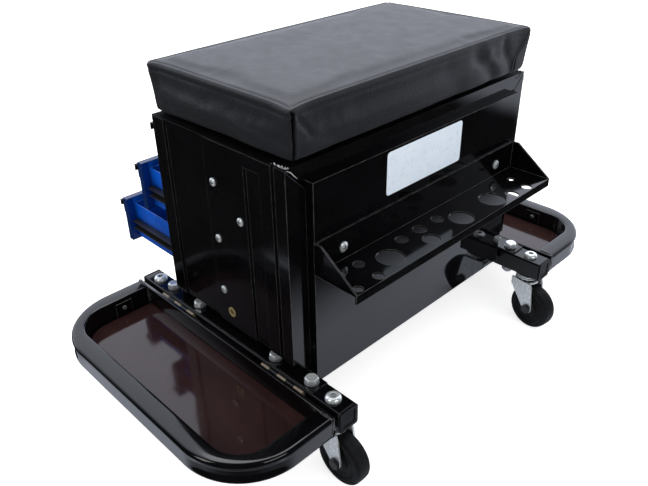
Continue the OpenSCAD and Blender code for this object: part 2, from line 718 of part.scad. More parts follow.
// Slides: positions and sections
function drawer_z(k) = drawer_low + (2 - k) * drawer_pitch;
function slide_z(k) = drawer_z(k) + front_h / 2 - slide_drop;
slide_y = sheet - cab_y + touch_gap;
slide_len = pan_y - pan_return - slide_back_gap - slide_y;
module slide_outer_rails()
    black_plastic() both_sides() difference() {
        for (k = [0 : 2]) translate([box_x, slide_y, slide_z(k)]) union() {
            block([slide_w - slide_t, 0, -slide_h / 2], [slide_w, slide_len, slide_h / 2]);
            for (side = [0, 1]) mirror([0, 0, side])
                block([slide_w - outer_lip_w, 0, slide_h / 2 - slide_t], [slide_w, slide_len, slide_h / 2]);
        }
        at_slide_screws() translate([0, 0, -slide_screw_len])
            screw_hole(screw_d + 2 * run_fit, slide_screw_len);
    }
module drawer_slides(k)
    black_plastic() both_sides()
        translate([box_x, slide_y - drawer_open[k], slide_z(k)]) {
            block([0, 0, -rail_inner_h / 2], [slide_t, slide_len, rail_inner_h / 2]);
            for (side = [0, 1]) mirror([0, 0, side])
                block([0, 0, rail_inner_h / 2 - slide_t], [rail_inner_w, slide_len, rail_inner_h / 2]);
        }
// Each cage holds two rows of balls between the inner and the outer rail
module ball_cages(k) {
    race_mid = (rail_inner_h / 2 + slide_h / 2 - slide_t) / 2;
    ball_u = rail_inner_w - slide_ball_d / 2 + cage_t / 2;
    plate_u = rail_inner_w + cage_t;
    start = slide_y + (slide_len - cage_len) / 2 - drawer_open[k] / 2;
    step = cage_len / cage_balls;
    zinc() both_sides() translate([box_x, start, slide_z(k)]) {
        difference() {
            union() {
                block([plate_u, 0, -race_mid - cage_t / 2],
                      [plate_u + cage_t, cage_len, race_mid + cage_t / 2]);
                for (side = [0, 1]) mirror([0, 0, side])
                    block([plate_u - cage_arm, 0, race_mid - cage_t / 2],
                          [plate_u + cage_t, cage_len, race_mid + cage_t / 2]);
            }
            for (n = [0 : cage_balls - 1])
                translate([ball_u, step * (n + 0.5), -slide_h / 2])
                    cylinder(d = slide_ball_d + 2 * run_fit, h = slide_h);
        }
        for (n = [0 : cage_balls - 1], side = [-1, 1])
            translate([ball_u, step * (n + 0.5), side * race_mid])
                sphere(d = slide_ball_d, $fn = small_sides);
    }
}
module drawer_box(k) {
    y0 = front_y - drawer_open[k];
    z0 = drawer_z(k) + box_floor_up;
    blue_paint() union() {
        difference() {
            block([-box_x, y0, z0], [box_x, y0 + box_depth, z0 + box_h]);
            block([box_t - box_x, y0 + box_t, z0 + box_t],
                  [box_x - box_t, y0 + box_depth - box_t, z0 + box_h + overrun]);
        }
        block([box_t - front_w / 2, y0 - box_t, drawer_z(k) + box_t],
              [front_w / 2 - box_t, y0, drawer_z(k) + front_h - box_t]);
    }
}
module drawer_front(k) {
    y0 = front_y - drawer_open[k];
    z0 = drawer_z(k);
    blue_paint() difference() {
        block([-front_w / 2, y0 - front_depth, z0], [front_w / 2, y0, z0 + front_h]);
        block([box_t - front_w / 2, y0 - front_depth + box_t, z0 + box_t],
              [front_w / 2 - box_t, y0 + overrun, z0 + front_h - box_t]);
    }
}
module drawer_pull(k) {
    y0 = front_y - drawer_open[k] - front_depth;
    z1 = drawer_z(k) + front_h;
    black_plastic() translate([front_w / 2, y0, z1]) rotate([90, 0, -90]) linear_extrude(front_w)
        polygon([[0, -pull_t], [pull_t, -pull_t], [pull_t, -pull_drop], [pull_reach, -pull_drop],
                 [pull_reach, -pull_drop - pull_hook], [pull_reach - pull_t, -pull_drop - pull_hook],
                 [pull_reach - pull_t, -pull_drop - pull_t], [pull_t, -pull_drop - pull_t],
                 [pull_t, -pull_back_h], [0, -pull_back_h]]);
}
module top_drawer_box() drawer_box(0);
module top_drawer_front() drawer_front(0);
module top_drawer_pull() drawer_pull(0);
module top_drawer_slides() drawer_slides(0);
module top_ball_cages() ball_cages(0);
module middle_drawer_box() drawer_box(1);
module middle_drawer_front() drawer_front(1);
module middle_drawer_pull() drawer_pull(1);
module middle_drawer_slides() drawer_slides(1);
module middle_ball_cages() ball_cages(1);
module bottom_drawer_box() drawer_box(2);
module bottom_drawer_front() drawer_front(2);
module bottom_drawer_pull() drawer_pull(2);
module bottom_drawer_slides() drawer_slides(2);
module bottom_ball_cages() ball_cages(2);

// Tool rack: back, pierced shelf, front lip and two sloping end plates
function rack_hole_x(k) = rack_hole_shares[k][0] * (rack_w / 2 - rack_t - rack_hole_edge);
function rack_hole_y(k) = pan_y + rack_t + rack_hole_shares[k][1] * (rack_depth - 2 * rack_t);
module tool_rack()
    black_paint() difference() {
        union() {
            block([-rack_w / 2, pan_y, rack_z - rack_t], [rack_w / 2, pan_y + rack_t, rack_z + rack_back]);
            block([-rack_w / 2, pan_y, rack_z - rack_t], [rack_w / 2, pan_y + rack_depth, rack_z]);
            block([-rack_w / 2, pan_y + rack_depth - rack_t, rack_z - rack_lip],
                  [rack_w / 2, pan_y + rack_depth, rack_z]);
            both_sides() translate([rack_w / 2 - rack_t, pan_y, rack_z]) rotate([90, 0, 90])
                linear_extrude(rack_t)
                    polygon([[0, 0], [rack_depth, 0], [rack_ear, rack_back], [0, rack_back]]);
        }
        for (k = [0 : rack_hole_count - 1])
            translate([rack_hole_x(k), rack_hole_y(k), rack_z - rack_t - overrun])
                cylinder(d = rack_hole_shares[k][2] * rack_depth, h = rack_t + 2 * overrun);
        at_rack_screws() translate([0, 0, -rack_t]) screw_hole(rack_screw_d + 2 * run_fit, rack_t + overrun);
    }
module blank_label_plate()
    label_white() translate([label_shift, pan_y, pan_top - label_drop - label_h / 2])
        rotate([-90, 0, 0]) linear_extrude(label_t) rounded_rect(label_w, label_h, label_corner_r);

// Tray hinges: fixed knuckles at even places, moving knuckles at odd places
knuckle_len = hinge_len / knuckle_count;
module knuckle(place)
    translate([hinge_x, (place + 0.5) * knuckle_len - hinge_len / 2, hinge_z]) difference() {
        rod_y(knuckle_r, knuckle_len - knuckle_play);
        rod_y(hinge_pin_d / 2 + run_fit, knuckle_len + 2 * overrun);
    }
module leaf(x_face, places) {
    low = hinge_z - leaf_h;
    block([x_face, -hinge_len / 2, low], [x_face + leaf_t, hinge_len / 2, hinge_z - knuckle_r - touch_gap]);
    for (place = places) {
        y = (place + 0.5) * knuckle_len - hinge_len / 2;
        half = (knuckle_len - knuckle_play) / 2;
        difference() {
            block([x_face, y - half, hinge_z - knuckle_r - touch_gap - overrun],
                  [x_face + leaf_t, y + half, hinge_z]);
            translate([hinge_x, y, hinge_z]) rod_y(hinge_pin_d / 2 + run_fit, knuckle_len + 2 * overrun);
        }
        knuckle(place);
    }
}
module at_hinges() for (y = [-hinge_gap / 2, hinge_gap / 2]) translate([0, y, 0]) children();
module hinge_fixed_leaves() brass() both_sides() at_hinges() leaf(tube_x + tube / 2, [0, 2, 4]);
module tray_fittings() {
    at_hinges() leaf(tray_x0 - leaf_t, [1, 3]);
    at_tray_rivets() rivet();
}
module left_hinges_and_rivets() brass() tray_fittings();
module right_hinges_and_rivets() brass() mirror([1, 0, 0]) tray_fittings();
module hinge_pins()
    brass() both_sides() at_hinges() translate([hinge_x, 0, hinge_z]) rod_y(hinge_pin_d / 2, hinge_len);

// Tray: D-shaped tube frame on a flat hinge rail, a sheet floor with riveted tabs and a mat
module d_shape(x0, x1, half_y, r)
    intersection() {
        translate([x0, -half_y]) square([x1 - x0, 2 * half_y]);
        union() {
            translate([x0, -half_y]) square([x1 - r - x0, 2 * half_y]);
            translate([x0, r - half_y]) square([x1 - x0, 2 * (half_y - r)]);
            for (side = [-1, 1]) translate([x1 - r, side * (half_y - r)]) circle(r = r, $fn = fine_sides);
        }
    }
tray_in_r = tray_corner_r - tray_tube_w;
tray_x_in = tray_x1 - tray_tube_w;
tray_y_out = tray_len / 2;
tray_y_in = tray_y_out - tray_tube_w;
tab_x = tray_x1 - tray_corner_r - tray_tab_w;
tab_y = tray_y_out - tray_corner_r - tray_tab_w;
rivet_z = tube_bottom + tray_tab_h * rivet_up_share;
rivet_len = tray_tab_t + run_fit + tube_wall + rivet_tail;
module at_tray_rivets()
    for (side = [0, 1]) mirror([0, side, 0]) {
        translate([tab_x + tray_tab_w / 2, tray_y_in - tray_tab_t - run_fit, rivet_z])
            rotate([90, 0, 0]) children();
        translate([tray_x_in - tray_tab_t - run_fit, tab_y + tray_tab_w / 2, rivet_z])
            rotate([0, -90, 0]) children();
    }
module rivet_hole()
    translate([0, 0, -rivet_len]) cylinder(d = rivet_shank_d + 2 * run_fit, h = rivet_len + overrun);
module rivet()
    union() {
        translate([0, 0, run_fit]) intersection() {
            cylinder(d = rivet_d, h = rivet_d / 3, $fn = small_sides);
            translate([0, 0, -rivet_d / 6]) sphere(d = rivet_d * 1.2, $fn = small_sides);
        }
        translate([0, 0, -rivet_len]) cylinder(d = rivet_shank_d, h = rivet_len + rivet_d / 6);
    }
module tray_tube() {
    mid_z = tube_bottom + tube / 2;
    leg = tray_x1 - tray_corner_r - tray_x0 - tray_rail_t;
    union() {
        block([tray_x0, -tray_y_out, tube_bottom], [tray_x0 + tray_rail_t, tray_y_out, tube_top]);
        for (side = [-1, 1]) {
            translate([tray_x0 + tray_rail_t, side * (tray_y_out - tray_tube_w / 2), mid_z])
                rotate([90, 0, 90]) linear_extrude(leg) tube_section(tray_tube_w, tube);
            translate([tray_x1 - tray_corner_r, side * (tray_y_out - tray_corner_r), mid_z])
                rotate([0, 0, side > 0 ? 0 : -90]) rotate_extrude(angle = 90, $fn = fine_sides)
                    translate([tray_corner_r - tray_tube_w / 2, 0]) tube_section(tray_tube_w, tube);
        }
        translate([tray_x1 - tray_tube_w / 2, 0, mid_z])
            along_y(2 * (tray_y_out - tray_corner_r)) tube_section(tray_tube_w, tube);
    }
}
module tray_frame()
    difference() {
        tray_tube();
        at_tray_rivets() rivet_hole();
    }
module tray_sheet()
    union() {
        translate([0, 0, tube_bottom - tray_floor_t]) linear_extrude(tray_floor_t)
            d_shape(tray_x0, tray_x1 - tube_r, tray_y_out - tube_r, tray_corner_r - tube_r);
        for (side = [0, 1]) mirror([0, side, 0]) {
            block([tab_x, tray_y_in - tray_tab_t - run_fit, tube_bottom - tray_floor_t],
                  [tab_x + tray_tab_w, tray_y_in - run_fit, tube_bottom + tray_tab_h]);
            block([tray_x_in - tray_tab_t - run_fit, tab_y, tube_bottom - tray_floor_t],
                  [tray_x_in - run_fit, tab_y + tray_tab_w, tube_bottom + tray_tab_h]);
        }
    }
module tray_floor()
    difference() {
        tray_sheet();
        at_tray_rivets() rivet_hole();
    }
module tray_mat()
    translate([0, 0, tube_bottom]) linear_extrude(mat_t)
        d_shape(tray_x0 + tray_rail_t + touch_gap, tray_x_in - 2 * tray_tab_t - touch_gap,
                tray_y_in - 2 * tray_tab_t - touch_gap, tray_in_r - 2 * tray_tab_t - touch_gap);
module left_tray_frame() black_paint() tray_frame();
module left_tray_floor() black_paint() tray_floor();
module left_tray_mat() brown_mat() tray_mat();
module right_tray_frame() black_paint() mirror([1, 0, 0]) tray_frame();
module right_tray_floor() black_paint() mirror([1, 0, 0]) tray_floor();
module right_tray_mat() brown_mat() mirror([1, 0, 0]) tray_mat();

seat_cushion();
seat_board();
seat_spacers();
cabinet_top();
side_panel_left();
side_panel_right();
rear_panel();
cabinet_floor();
front_skirt();
mounting_rails();
base_tube_left();
base_tube_right();
tube_end_caps();
frame_bolts();
frame_nuts_and_washers();
caster_bolts();
caster_kingpins();
caster_balls();
cabinet_screws();
side_inserts();
slide_outer_rails();
tool_rack();
blank_label_plate();
hinge_fixed_leaves();
hinge_pins();
left_hinges_and_rivets();
right_hinges_and_rivets();
top_drawer_box();
top_drawer_front();
top_drawer_pull();
top_drawer_slides();
middle_drawer_box();
middle_drawer_front();
middle_drawer_pull();
middle_drawer_slides();
bottom_drawer_box();
bottom_drawer_front();
bottom_drawer_pull();
bottom_drawer_slides();
top_ball_cages();
middle_ball_cages();
bottom_ball_cages();
left_tray_frame();
left_tray_floor();
left_tray_mat();
right_tray_frame();
right_tray_floor();
right_tray_mat();
rear_left_fork();
rear_left_wheel();
rear_left_axle();
rear_right_fork();
rear_right_wheel();
rear_right_axle();
front_left_fork();
front_left_wheel();
front_left_axle();
front_right_fork();
front_right_wheel();
front_right_axle();
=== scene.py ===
"""Looks of the rolling creeper seat: finishes, soft cushion, detailed casters, studio and camera."""

import json
import math

import bmesh
import bpy
import numpy as np
from mathutils import Matrix, Vector


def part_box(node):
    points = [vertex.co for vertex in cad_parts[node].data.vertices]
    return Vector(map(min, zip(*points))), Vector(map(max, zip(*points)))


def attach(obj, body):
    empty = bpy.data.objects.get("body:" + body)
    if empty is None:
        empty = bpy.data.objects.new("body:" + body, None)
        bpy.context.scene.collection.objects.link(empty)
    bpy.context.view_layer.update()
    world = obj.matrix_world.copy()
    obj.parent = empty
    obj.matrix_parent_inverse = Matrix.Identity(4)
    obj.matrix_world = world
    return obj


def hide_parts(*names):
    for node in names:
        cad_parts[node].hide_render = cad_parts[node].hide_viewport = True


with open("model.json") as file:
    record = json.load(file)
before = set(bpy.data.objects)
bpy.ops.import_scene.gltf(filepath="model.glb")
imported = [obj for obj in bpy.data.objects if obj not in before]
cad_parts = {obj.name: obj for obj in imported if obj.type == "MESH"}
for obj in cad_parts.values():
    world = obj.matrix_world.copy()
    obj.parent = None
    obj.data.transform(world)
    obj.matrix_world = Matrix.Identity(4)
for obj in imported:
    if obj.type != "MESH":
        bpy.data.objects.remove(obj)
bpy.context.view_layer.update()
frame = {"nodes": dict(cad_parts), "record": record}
NODES = frame["nodes"]
MM = 0.001


def mm(*lengths):
    return tuple(length * MM for length in lengths)


def add_object(name, data):
    made = bpy.data.objects.new(name, data)
    bpy.context.scene.collection.objects.link(made)
    return made


# Photograph and camera
PHOTO_WIDTH_PX = 648
CENTRE_X_PX, CENTRE_Y_PX = 311.0, 244.2
MIDDLE_X_PX, MIDDLE_Y_PX = 324, 243
FOCAL_PX = 678.6
SENSOR_MM = 36
NEAR_CLIP, FAR_CLIP = 0.01, 30
CAMERA_PLACE = Vector((0.5456, 0.5233, 0.5827))
CAMERA_YAW = math.radians(223.207)
CAMERA_PITCH = math.radians(30.821)
CAMERA_ROLL = math.radians(-1.583)


def make_camera():
    data = bpy.data.cameras.new("camera")
    data.sensor_width = SENSOR_MM
    data.lens = FOCAL_PX * SENSOR_MM / PHOTO_WIDTH_PX
    data.shift_x = (MIDDLE_X_PX - CENTRE_X_PX) / PHOTO_WIDTH_PX
    data.shift_y = (CENTRE_Y_PX - MIDDLE_Y_PX) / PHOTO_WIDTH_PX
    data.clip_start, data.clip_end = NEAR_CLIP, FAR_CLIP
    level = math.cos(CAMERA_PITCH)
    forward = Vector((math.sin(CAMERA_YAW) * level, math.cos(CAMERA_YAW) * level, -math.sin(CAMERA_PITCH)))
    side = Vector((math.cos(CAMERA_YAW), -math.sin(CAMERA_YAW), 0))
    over = side.cross(forward)
    right = side * math.cos(CAMERA_ROLL) + over * math.sin(CAMERA_ROLL)
    up = over * math.cos(CAMERA_ROLL) - side * math.sin(CAMERA_ROLL)
    turn = Matrix((right, up, -forward)).transposed()
    camera = add_object("camera", data)
    camera.matrix_world = Matrix.Translation(CAMERA_PLACE) @ turn.to_4x4()
    bpy.context.scene.camera = camera


make_camera()
bpy.context.scene.view_settings.view_transform = "Standard"


# Node helpers for the materials, the floor and the sky
MIX_A, MIX_B, MIX_RESULT = 6, 7, 2
UP_SPAN = (0.4, 0.85)
EDGE_SPAN = (0.995, 0.8)
SHADE_SAMPLES = 4


class NodeTree:
    """Short calls for the nodes of a material or a world."""

    def __init__(self, owner):
        owner.use_nodes = True
        self.tree = owner.node_tree

    def link(self, source, target):
        self.tree.links.new(source, target)

    def give(self, target, value):
        """Links a socket to another one, or sets it to a plain value."""
        if isinstance(value, bpy.types.NodeSocket):
            self.link(value, target)
        else:
            target.default_value = value

    def node(self, kind, sockets=(), **values):
        """A node with its values set and its inputs given, each by its name or number."""
        made = self.tree.nodes.new(kind)
        for key, value in values.items():
            setattr(made, key, value)
        for key, value in dict(sockets).items():
            self.give(made.inputs[key], value)
        return made

    def ramp(self, source, low, high, start=0.0, end=1.0, interpolation="LINEAR"):
        """Maps source from low..high to start..end, clamped."""
        sockets = {"Value": source, "From Min": low, "From Max": high, "To Min": start, "To Max": end}
        return self.node("ShaderNodeMapRange", sockets, interpolation_type=interpolation).outputs["Result"]

    def math(self, operation, a, b=0.0):
        return self.node("ShaderNodeMath", {0: a, 1: b}, operation=operation).outputs[0]

    def dot(self, a, b):
        return self.node("ShaderNodeVectorMath", {0: a, 1: b}, operation="DOT_PRODUCT").outputs["Value"]


class Shader(NodeTree):
    """A material with a Principled shader. Its calls take lengths in millimetres."""

    def __init__(self, name, metallic=0.0):
        self.material = bpy.data.materials.new(name)
        super().__init__(self.material)
        self.main = self.tree.nodes["Principled BSDF"]
        self.main.inputs["Metallic"].default_value = metallic
        self.place = self.node("ShaderNodeTexCoord").outputs["Object"]
        self.normal = self.node("ShaderNodeNewGeometry").outputs["Normal"]

    def colour(self, value):
        self.give(self.main.inputs["Base Color"], value)

    def rough(self, value):
        self.give(self.main.inputs["Roughness"], value)

    def specular(self, value):
        self.give(self.main.inputs["Specular IOR Level"], value)

    def stretched(self, scale):
        return self.node("ShaderNodeMapping", {"Vector": self.place, "Scale": scale}).outputs["Vector"]

    def noise(self, cell, detail, vector=None):
        """Noise with features of about the size of cell."""
        sockets = {"Vector": vector or self.place, "Scale": 1 / (cell * MM), "Detail": detail}
        return self.node("ShaderNodeTexNoise", sockets).outputs["Fac"]

    def patches(self, cell, detail, *span):
        """Noise, mapped as ramp does."""
        return self.ramp(self.noise(cell, detail), *span)

    def pebbles(self, cell):
        sockets = {"Vector": self.place, "Scale": 1 / (cell * MM)}
        return self.node("ShaderNodeTexVoronoi", sockets, feature="SMOOTH_F1").outputs["Distance"]

    def blend(self, share, a, b):
        """A colour between a and b, each a colour or a socket."""
        a, b = ((*value, 1) if isinstance(value, tuple) else value for value in (a, b))
        sockets = {"Factor": share, MIX_A: a, MIX_B: b}
        return self.node("ShaderNodeMix", sockets, data_type="RGBA").outputs[MIX_RESULT]

    def axis(self, source, name):
        return self.node("ShaderNodeSeparateXYZ", {0: source}).outputs[name]

    def from_middle(self):
        """Distance to either side of the object's middle, in metres."""
        return self.math("ABSOLUTE", self.axis(self.place, "X"))

    def facing_up(self):
        """1 on faces that look up, 0 on upright ones."""
        return self.ramp(self.axis(self.normal, "Z"), *UP_SPAN)

    def open_share(self, reach):
        """1 on open faces, falling to 0 in corners and hollows narrower than reach."""
        made = self.node("ShaderNodeAmbientOcclusion", {"Distance": reach * MM}, samples=SHADE_SAMPLES)
        return made.outputs["AO"]

    def edge_share(self, radius):
        """0 on flat faces, rising to 1 on edges sharper than radius."""
        bevel = self.node("ShaderNodeBevel", {"Radius": radius * MM}, samples=SHADE_SAMPLES)
        return self.ramp(self.dot(bevel.outputs["Normal"], self.normal), *EDGE_SPAN)

    def bump(self, height, depth, before=None):
        """Adds relief of the given depth, on top of the relief in before."""
        sockets = {"Height": height, "Distance": depth * MM, **({"Normal": before} if before else {})}
        made = self.node("ShaderNodeBump", sockets).outputs["Normal"]
        self.link(made, self.main.inputs["Normal"])
        return made


# Finishes
# Past the first distance from the middle, flanges get a painted shade; past the second, rivets are bare
SHADED_FLANGE_FROM, RIVETS_FROM = mm(178.5, 222)
# Lighter edges: partly real wear, partly a painted highlight
WEAR_AND_HIGHLIGHT_BAND, WEAR_AND_HIGHLIGHT_LIFT, WEAR_AND_HIGHLIGHT_SHARE = 0.9, 0.28, 0.6
DUST_LIFT, DUST_SHARE = 0.05, 0.175


def toned(colour, factor, lift=0.0):
    return tuple(c * factor + lift for c in colour)


def enamel(name, colour, roughness, peel=0.01, waviness=0.0, wear_and_highlight=0.9, shaded=None):
    """Sprayed paint with orange peel, dust specks, and lighter edges that are partly wear, partly painted
    highlight. Shaded is a painted shade: its tone in hollows.
    """
    s = Shader(name)
    base = s.blend(s.patches(45, 4, 0.35, 0.7), colour, toned(colour, 1.5, 0.0008))
    specks = s.math("MULTIPLY", s.patches(1.1, 3, 0.74, 0.8), DUST_SHARE)
    base = s.blend(specks, base, toned(colour, 1, DUST_LIFT))
    # Lighter edges, partly wear and partly a painted highlight of the reflections on rounded folds
    edges = s.math("MULTIPLY", s.edge_share(WEAR_AND_HIGHLIGHT_BAND), s.patches(6, 4, 0.4, 0.62, 0.4, 1.0))
    base = s.blend(s.math("MULTIPLY", edges, WEAR_AND_HIGHLIGHT_SHARE * wear_and_highlight), base, toned(colour, 1, WEAR_AND_HIGHLIGHT_LIFT))
    if shaded:
        # Painted shade: the shaded tone in hollows, and a lighter copy of it on the side flanges
        base = s.blend(s.ramp(s.open_share(50), 0.3, 0.9), shaded, base)
        base = s.blend(s.ramp(s.from_middle(), SHADED_FLANGE_FROM, SHADED_FLANGE_FROM + MM), base, toned(shaded, 2.5))
    s.colour(base)
    s.rough(s.patches(20, 5, 0.3, 0.75, roughness * 0.8, roughness * 1.5 + 0.02))
    first = s.bump(s.noise(2.2, 2), peel)
    if waviness:
        s.bump(s.noise(70, 1), waviness, before=first)
    return s.material


def leatherette():
    """Charcoal vinyl with a fine pebbled grain; a lighter, glossier top and darker sides as painted light and
    shade, and black slits as painted shade.
    """
    s = Shader("leatherette")
    grain = s.pebbles(1.5)
    fine = s.noise(0.6, 4)
    patches = s.patches(50, 4, 0.3, 0.7)
    top = s.facing_up()
    # Painted light and shade: a lighter tone for the top, a darker one for the upright sides
    level = s.blend(patches, (0.0122, 0.0132, 0.017), (0.0146, 0.0158, 0.0203))
    upright = s.blend(patches, (0.0065, 0.0075, 0.0105), (0.0085, 0.0095, 0.013))
    base = s.blend(top, upright, level)
    pits = s.blend(s.ramp(fine, 0.3, 0.7), base, (0.010, 0.011, 0.014))
    base = s.blend(s.ramp(grain, 0.0, 0.7), pits, base)
    # Black in the slits, from the slits' point attribute: painted shade
    slit_shade = s.node("ShaderNodeAttribute", attribute_name="slit_shade").outputs["Fac"]
    s.colour(s.blend(slit_shade, base, (0.0004, 0.0004, 0.0005)))
    # Painted sheen: a little more reflection on the top than on the sides, and none in the slits
    s.specular(s.math("MULTIPLY", s.ramp(top, 0, 1, 0.4, 0.45), s.ramp(slit_shade, 0, 1, 1, 0)))
    s.rough(s.patches(15, 5, 0.3, 0.7, 0.43, 0.5))
    s.main.inputs["Sheen Weight"].default_value = 0.04
    s.main.inputs["Sheen Roughness"].default_value = 0.5
    soft = s.bump(s.noise(30, 3), 0.22)
    pebbled = s.bump(grain, 0.24, before=soft)
    s.bump(fine, 0.05, before=pebbled)
    return s.material


def plating(name, tint, shade, roughness, metallic=0.68):
    """Plated steel: cloudy tone, fine grinding marks, small dull spots and painted shade in its hollows."""
    s = Shader(name, metallic)
    clouds = s.patches(8, 5, 0.35, 0.7)
    spots = s.patches(2.2, 4, 0.58, 0.78, 0.0, 0.3)
    plain = s.blend(spots, s.blend(clouds, tint, toned(tint, 0.93)), shade)
    # Painted shade: near black in hollows narrower than 5 mm
    s.colour(s.blend(s.ramp(s.open_share(5), 0.3, 0.85), toned(shade, 0.05), plain))
    marks = s.noise(0.5, 3, s.stretched((1, 1, 0.08)))
    s.rough(s.ramp(marks, 0.3, 0.7, roughness * 0.85, roughness * 1.2))
    first = s.bump(marks, 0.002)
    s.bump(s.noise(4, 3), 0.02, before=first)
    return s.material


def painted_hinges():
    """Black painted leaves, and further out the grey heads of the tray rivets."""
    s = Shader("painted_hinges")
    bare = s.ramp(s.from_middle(), RIVETS_FROM, RIVETS_FROM + 2 * MM)
    paint = s.blend(s.patches(10, 4, 0.35, 0.7), (0.0015, 0.0015, 0.0018), (0.005, 0.005, 0.0055))
    steel = s.blend(s.patches(2, 3, 0.3, 0.7), (0.2, 0.21, 0.215), (0.11, 0.12, 0.12))
    s.colour(s.blend(bare, paint, steel))
    s.link(s.ramp(bare, 0, 1, 0.0, 0.55), s.main.inputs["Metallic"])
    s.rough(s.patches(4, 3, 0.3, 0.7, 0.14, 0.34))
    s.bump(s.noise(1.5, 3), 0.03)
    return s.material


def shaded_top_enamel():
    """Black paint with a faint patchy film; its up-facing face under the seat is dull and loses its
    reflection, as painted shade from the seat.
    """
    s = Shader("shaded_top_enamel")
    top = s.facing_up()
    film = s.patches(30, 4, 0.35, 0.7)
    s.colour(s.blend(film, (0.0012, 0.0012, 0.0016), (0.0032, 0.0032, 0.0036)))
    # Painted shade from the seat: the up-facing face loses its reflection and turns dull
    s.specular(s.ramp(top, 0, 1, 0.5, 0.03))
    s.rough(s.ramp(s.math("MAXIMUM", top, s.math("MULTIPLY", film, 0.1)), 0, 1, 0.05, 0.6))
    first = s.bump(s.noise(2.2, 2), 0.006)
    s.bump(s.noise(70, 1), 0.4, before=first)
    return s.material


def black_plastic():
    """Moulded plastic with a spark-eroded texture and faint flow marks."""
    colour, roughness = (0.003, 0.003, 0.004), 0.42
    s = Shader("black_plastic")
    s.specular(0.1)
    flow = s.ramp(s.noise(20, 3, s.stretched((1, 0.3, 1))), 0.3, 0.7)
    s.colour(s.blend(flow, colour, toned(colour, 1.35, 0.004)))
    s.rough(s.patches(4, 4, 0.3, 0.7, roughness * 0.85, roughness * 1.2))
    s.bump(s.noise(0.5, 3), 0.04)
    return s.material


def tyre_rubber():
    """Dull rubber with scuffs and a little dust."""
    s = Shader("tyre_rubber")
    s.specular(0.24)
    scuffs = s.patches(5, 5, 0.48, 0.7)
    base = s.blend(scuffs, (0.0022, 0.0024, 0.003), (0.0055, 0.0058, 0.0065))
    dust = s.patches(1.2, 4, 0.62, 0.75, 0.0, 0.25)
    s.colour(s.blend(dust, base, (0.035, 0.034, 0.033)))
    s.rough(s.patches(8, 4, 0.3, 0.7, 0.5, 0.72))
    first = s.bump(s.noise(0.7, 3), 0.08)
    s.bump(s.noise(4, 3), 0.1, before=first)
    return s.material


def maroon_sheet():
    """Smooth dark red-brown sheet with smears, specks and hairline scratches."""
    s = Shader("maroon_sheet")
    smears = s.ramp(s.noise(30, 4, s.stretched((1, 0.35, 1))), 0.35, 0.7)
    base = s.blend(smears, (0.019, 0.0085, 0.0085), (0.03, 0.014, 0.0135))
    specks = s.patches(1.3, 2, 0.73, 0.8, 0.0, 0.3)
    s.colour(s.blend(specks, base, (0.16, 0.12, 0.11)))
    scratches = s.ramp(s.noise(1.2, 1, s.stretched((0.04, 1, 1))), 0.7, 0.74, 0.0, 0.12)
    s.rough(s.math("ADD", s.ramp(smears, 0, 1, 0.05, 0.13), scratches))
    s.bump(s.noise(50, 1), 0.3)
    return s.material


def plywood():
    """Birch ply: thin dark and pale layers seen on the edges, grain on the faces."""
    s = Shader("birch_plywood")
    s.rough(0.6)
    grain = s.noise(1.6, 4, s.stretched((0.05, 1, 1)))
    sockets = {"Vector": s.place, "Scale": 160, "Distortion": 0.6}
    layers = s.node("ShaderNodeTexWave", sockets, wave_type="BANDS", bands_direction="Z").outputs["Fac"]
    face = s.blend(s.ramp(grain, 0.3, 0.7), (0.36, 0.24, 0.13), (0.55, 0.41, 0.25))
    glue = s.blend(s.ramp(grain, 0.2, 0.8), (0.16, 0.09, 0.045), (0.3, 0.19, 0.1))
    s.colour(s.blend(s.ramp(layers, 0.3, 0.7), glue, face))
    s.bump(grain, 0.1)
    return s.material


def white_film():
    """Plain label film: cool white with faint waviness."""
    s = Shader("white_film")
    tone = s.patches(20, 3, 0.3, 0.7)
    s.colour(s.blend(tone, (0.68, 0.77, 0.88), (0.74, 0.83, 0.93)))
    s.rough(s.patches(6, 4, 0.3, 0.7, 0.24, 0.38))
    s.bump(s.noise(10, 3), 0.06)
    return s.material


DARK_PLATE = (0.05, 0.05, 0.055), (0.02, 0.02, 0.022), 0.32
FINISHES = {
    "black_paint": enamel("black_enamel", (0.0013, 0.0013, 0.0017), 0.08, waviness=0.4),
    "gloss_black_panel": enamel("panel_enamel", (0.0011, 0.0011, 0.0015), 0.03, peel=0.004, waviness=0.5),
    # The blue paint carries painted shade in its hollows and on its side flanges
    "blue_paint": enamel("blue_enamel", (0.0004, 0.068, 0.42), 0.2, wear_and_highlight=0.1, shaded=(0.0002, 0.01, 0.08)),
    "zinc": plating("zinc_plate", (0.9, 0.95, 0.97), (0.6, 0.65, 0.69), 0.24),
    "black_zinc": plating("dark_plate", *DARK_PLATE),
    "yellow_zinc": plating("yellow_plate", (0.68, 0.55, 0.27), (0.36, 0.3, 0.14), 0.3),
    "black_vinyl": leatherette(), "plywood": plywood(), "black_plastic": black_plastic(),
    "black_rubber": tyre_rubber(), "tray_mat": maroon_sheet(), "label_white": white_film()}
HINGES = painted_hinges()
AXLES = plating("axle_plate", *DARK_PLATE)
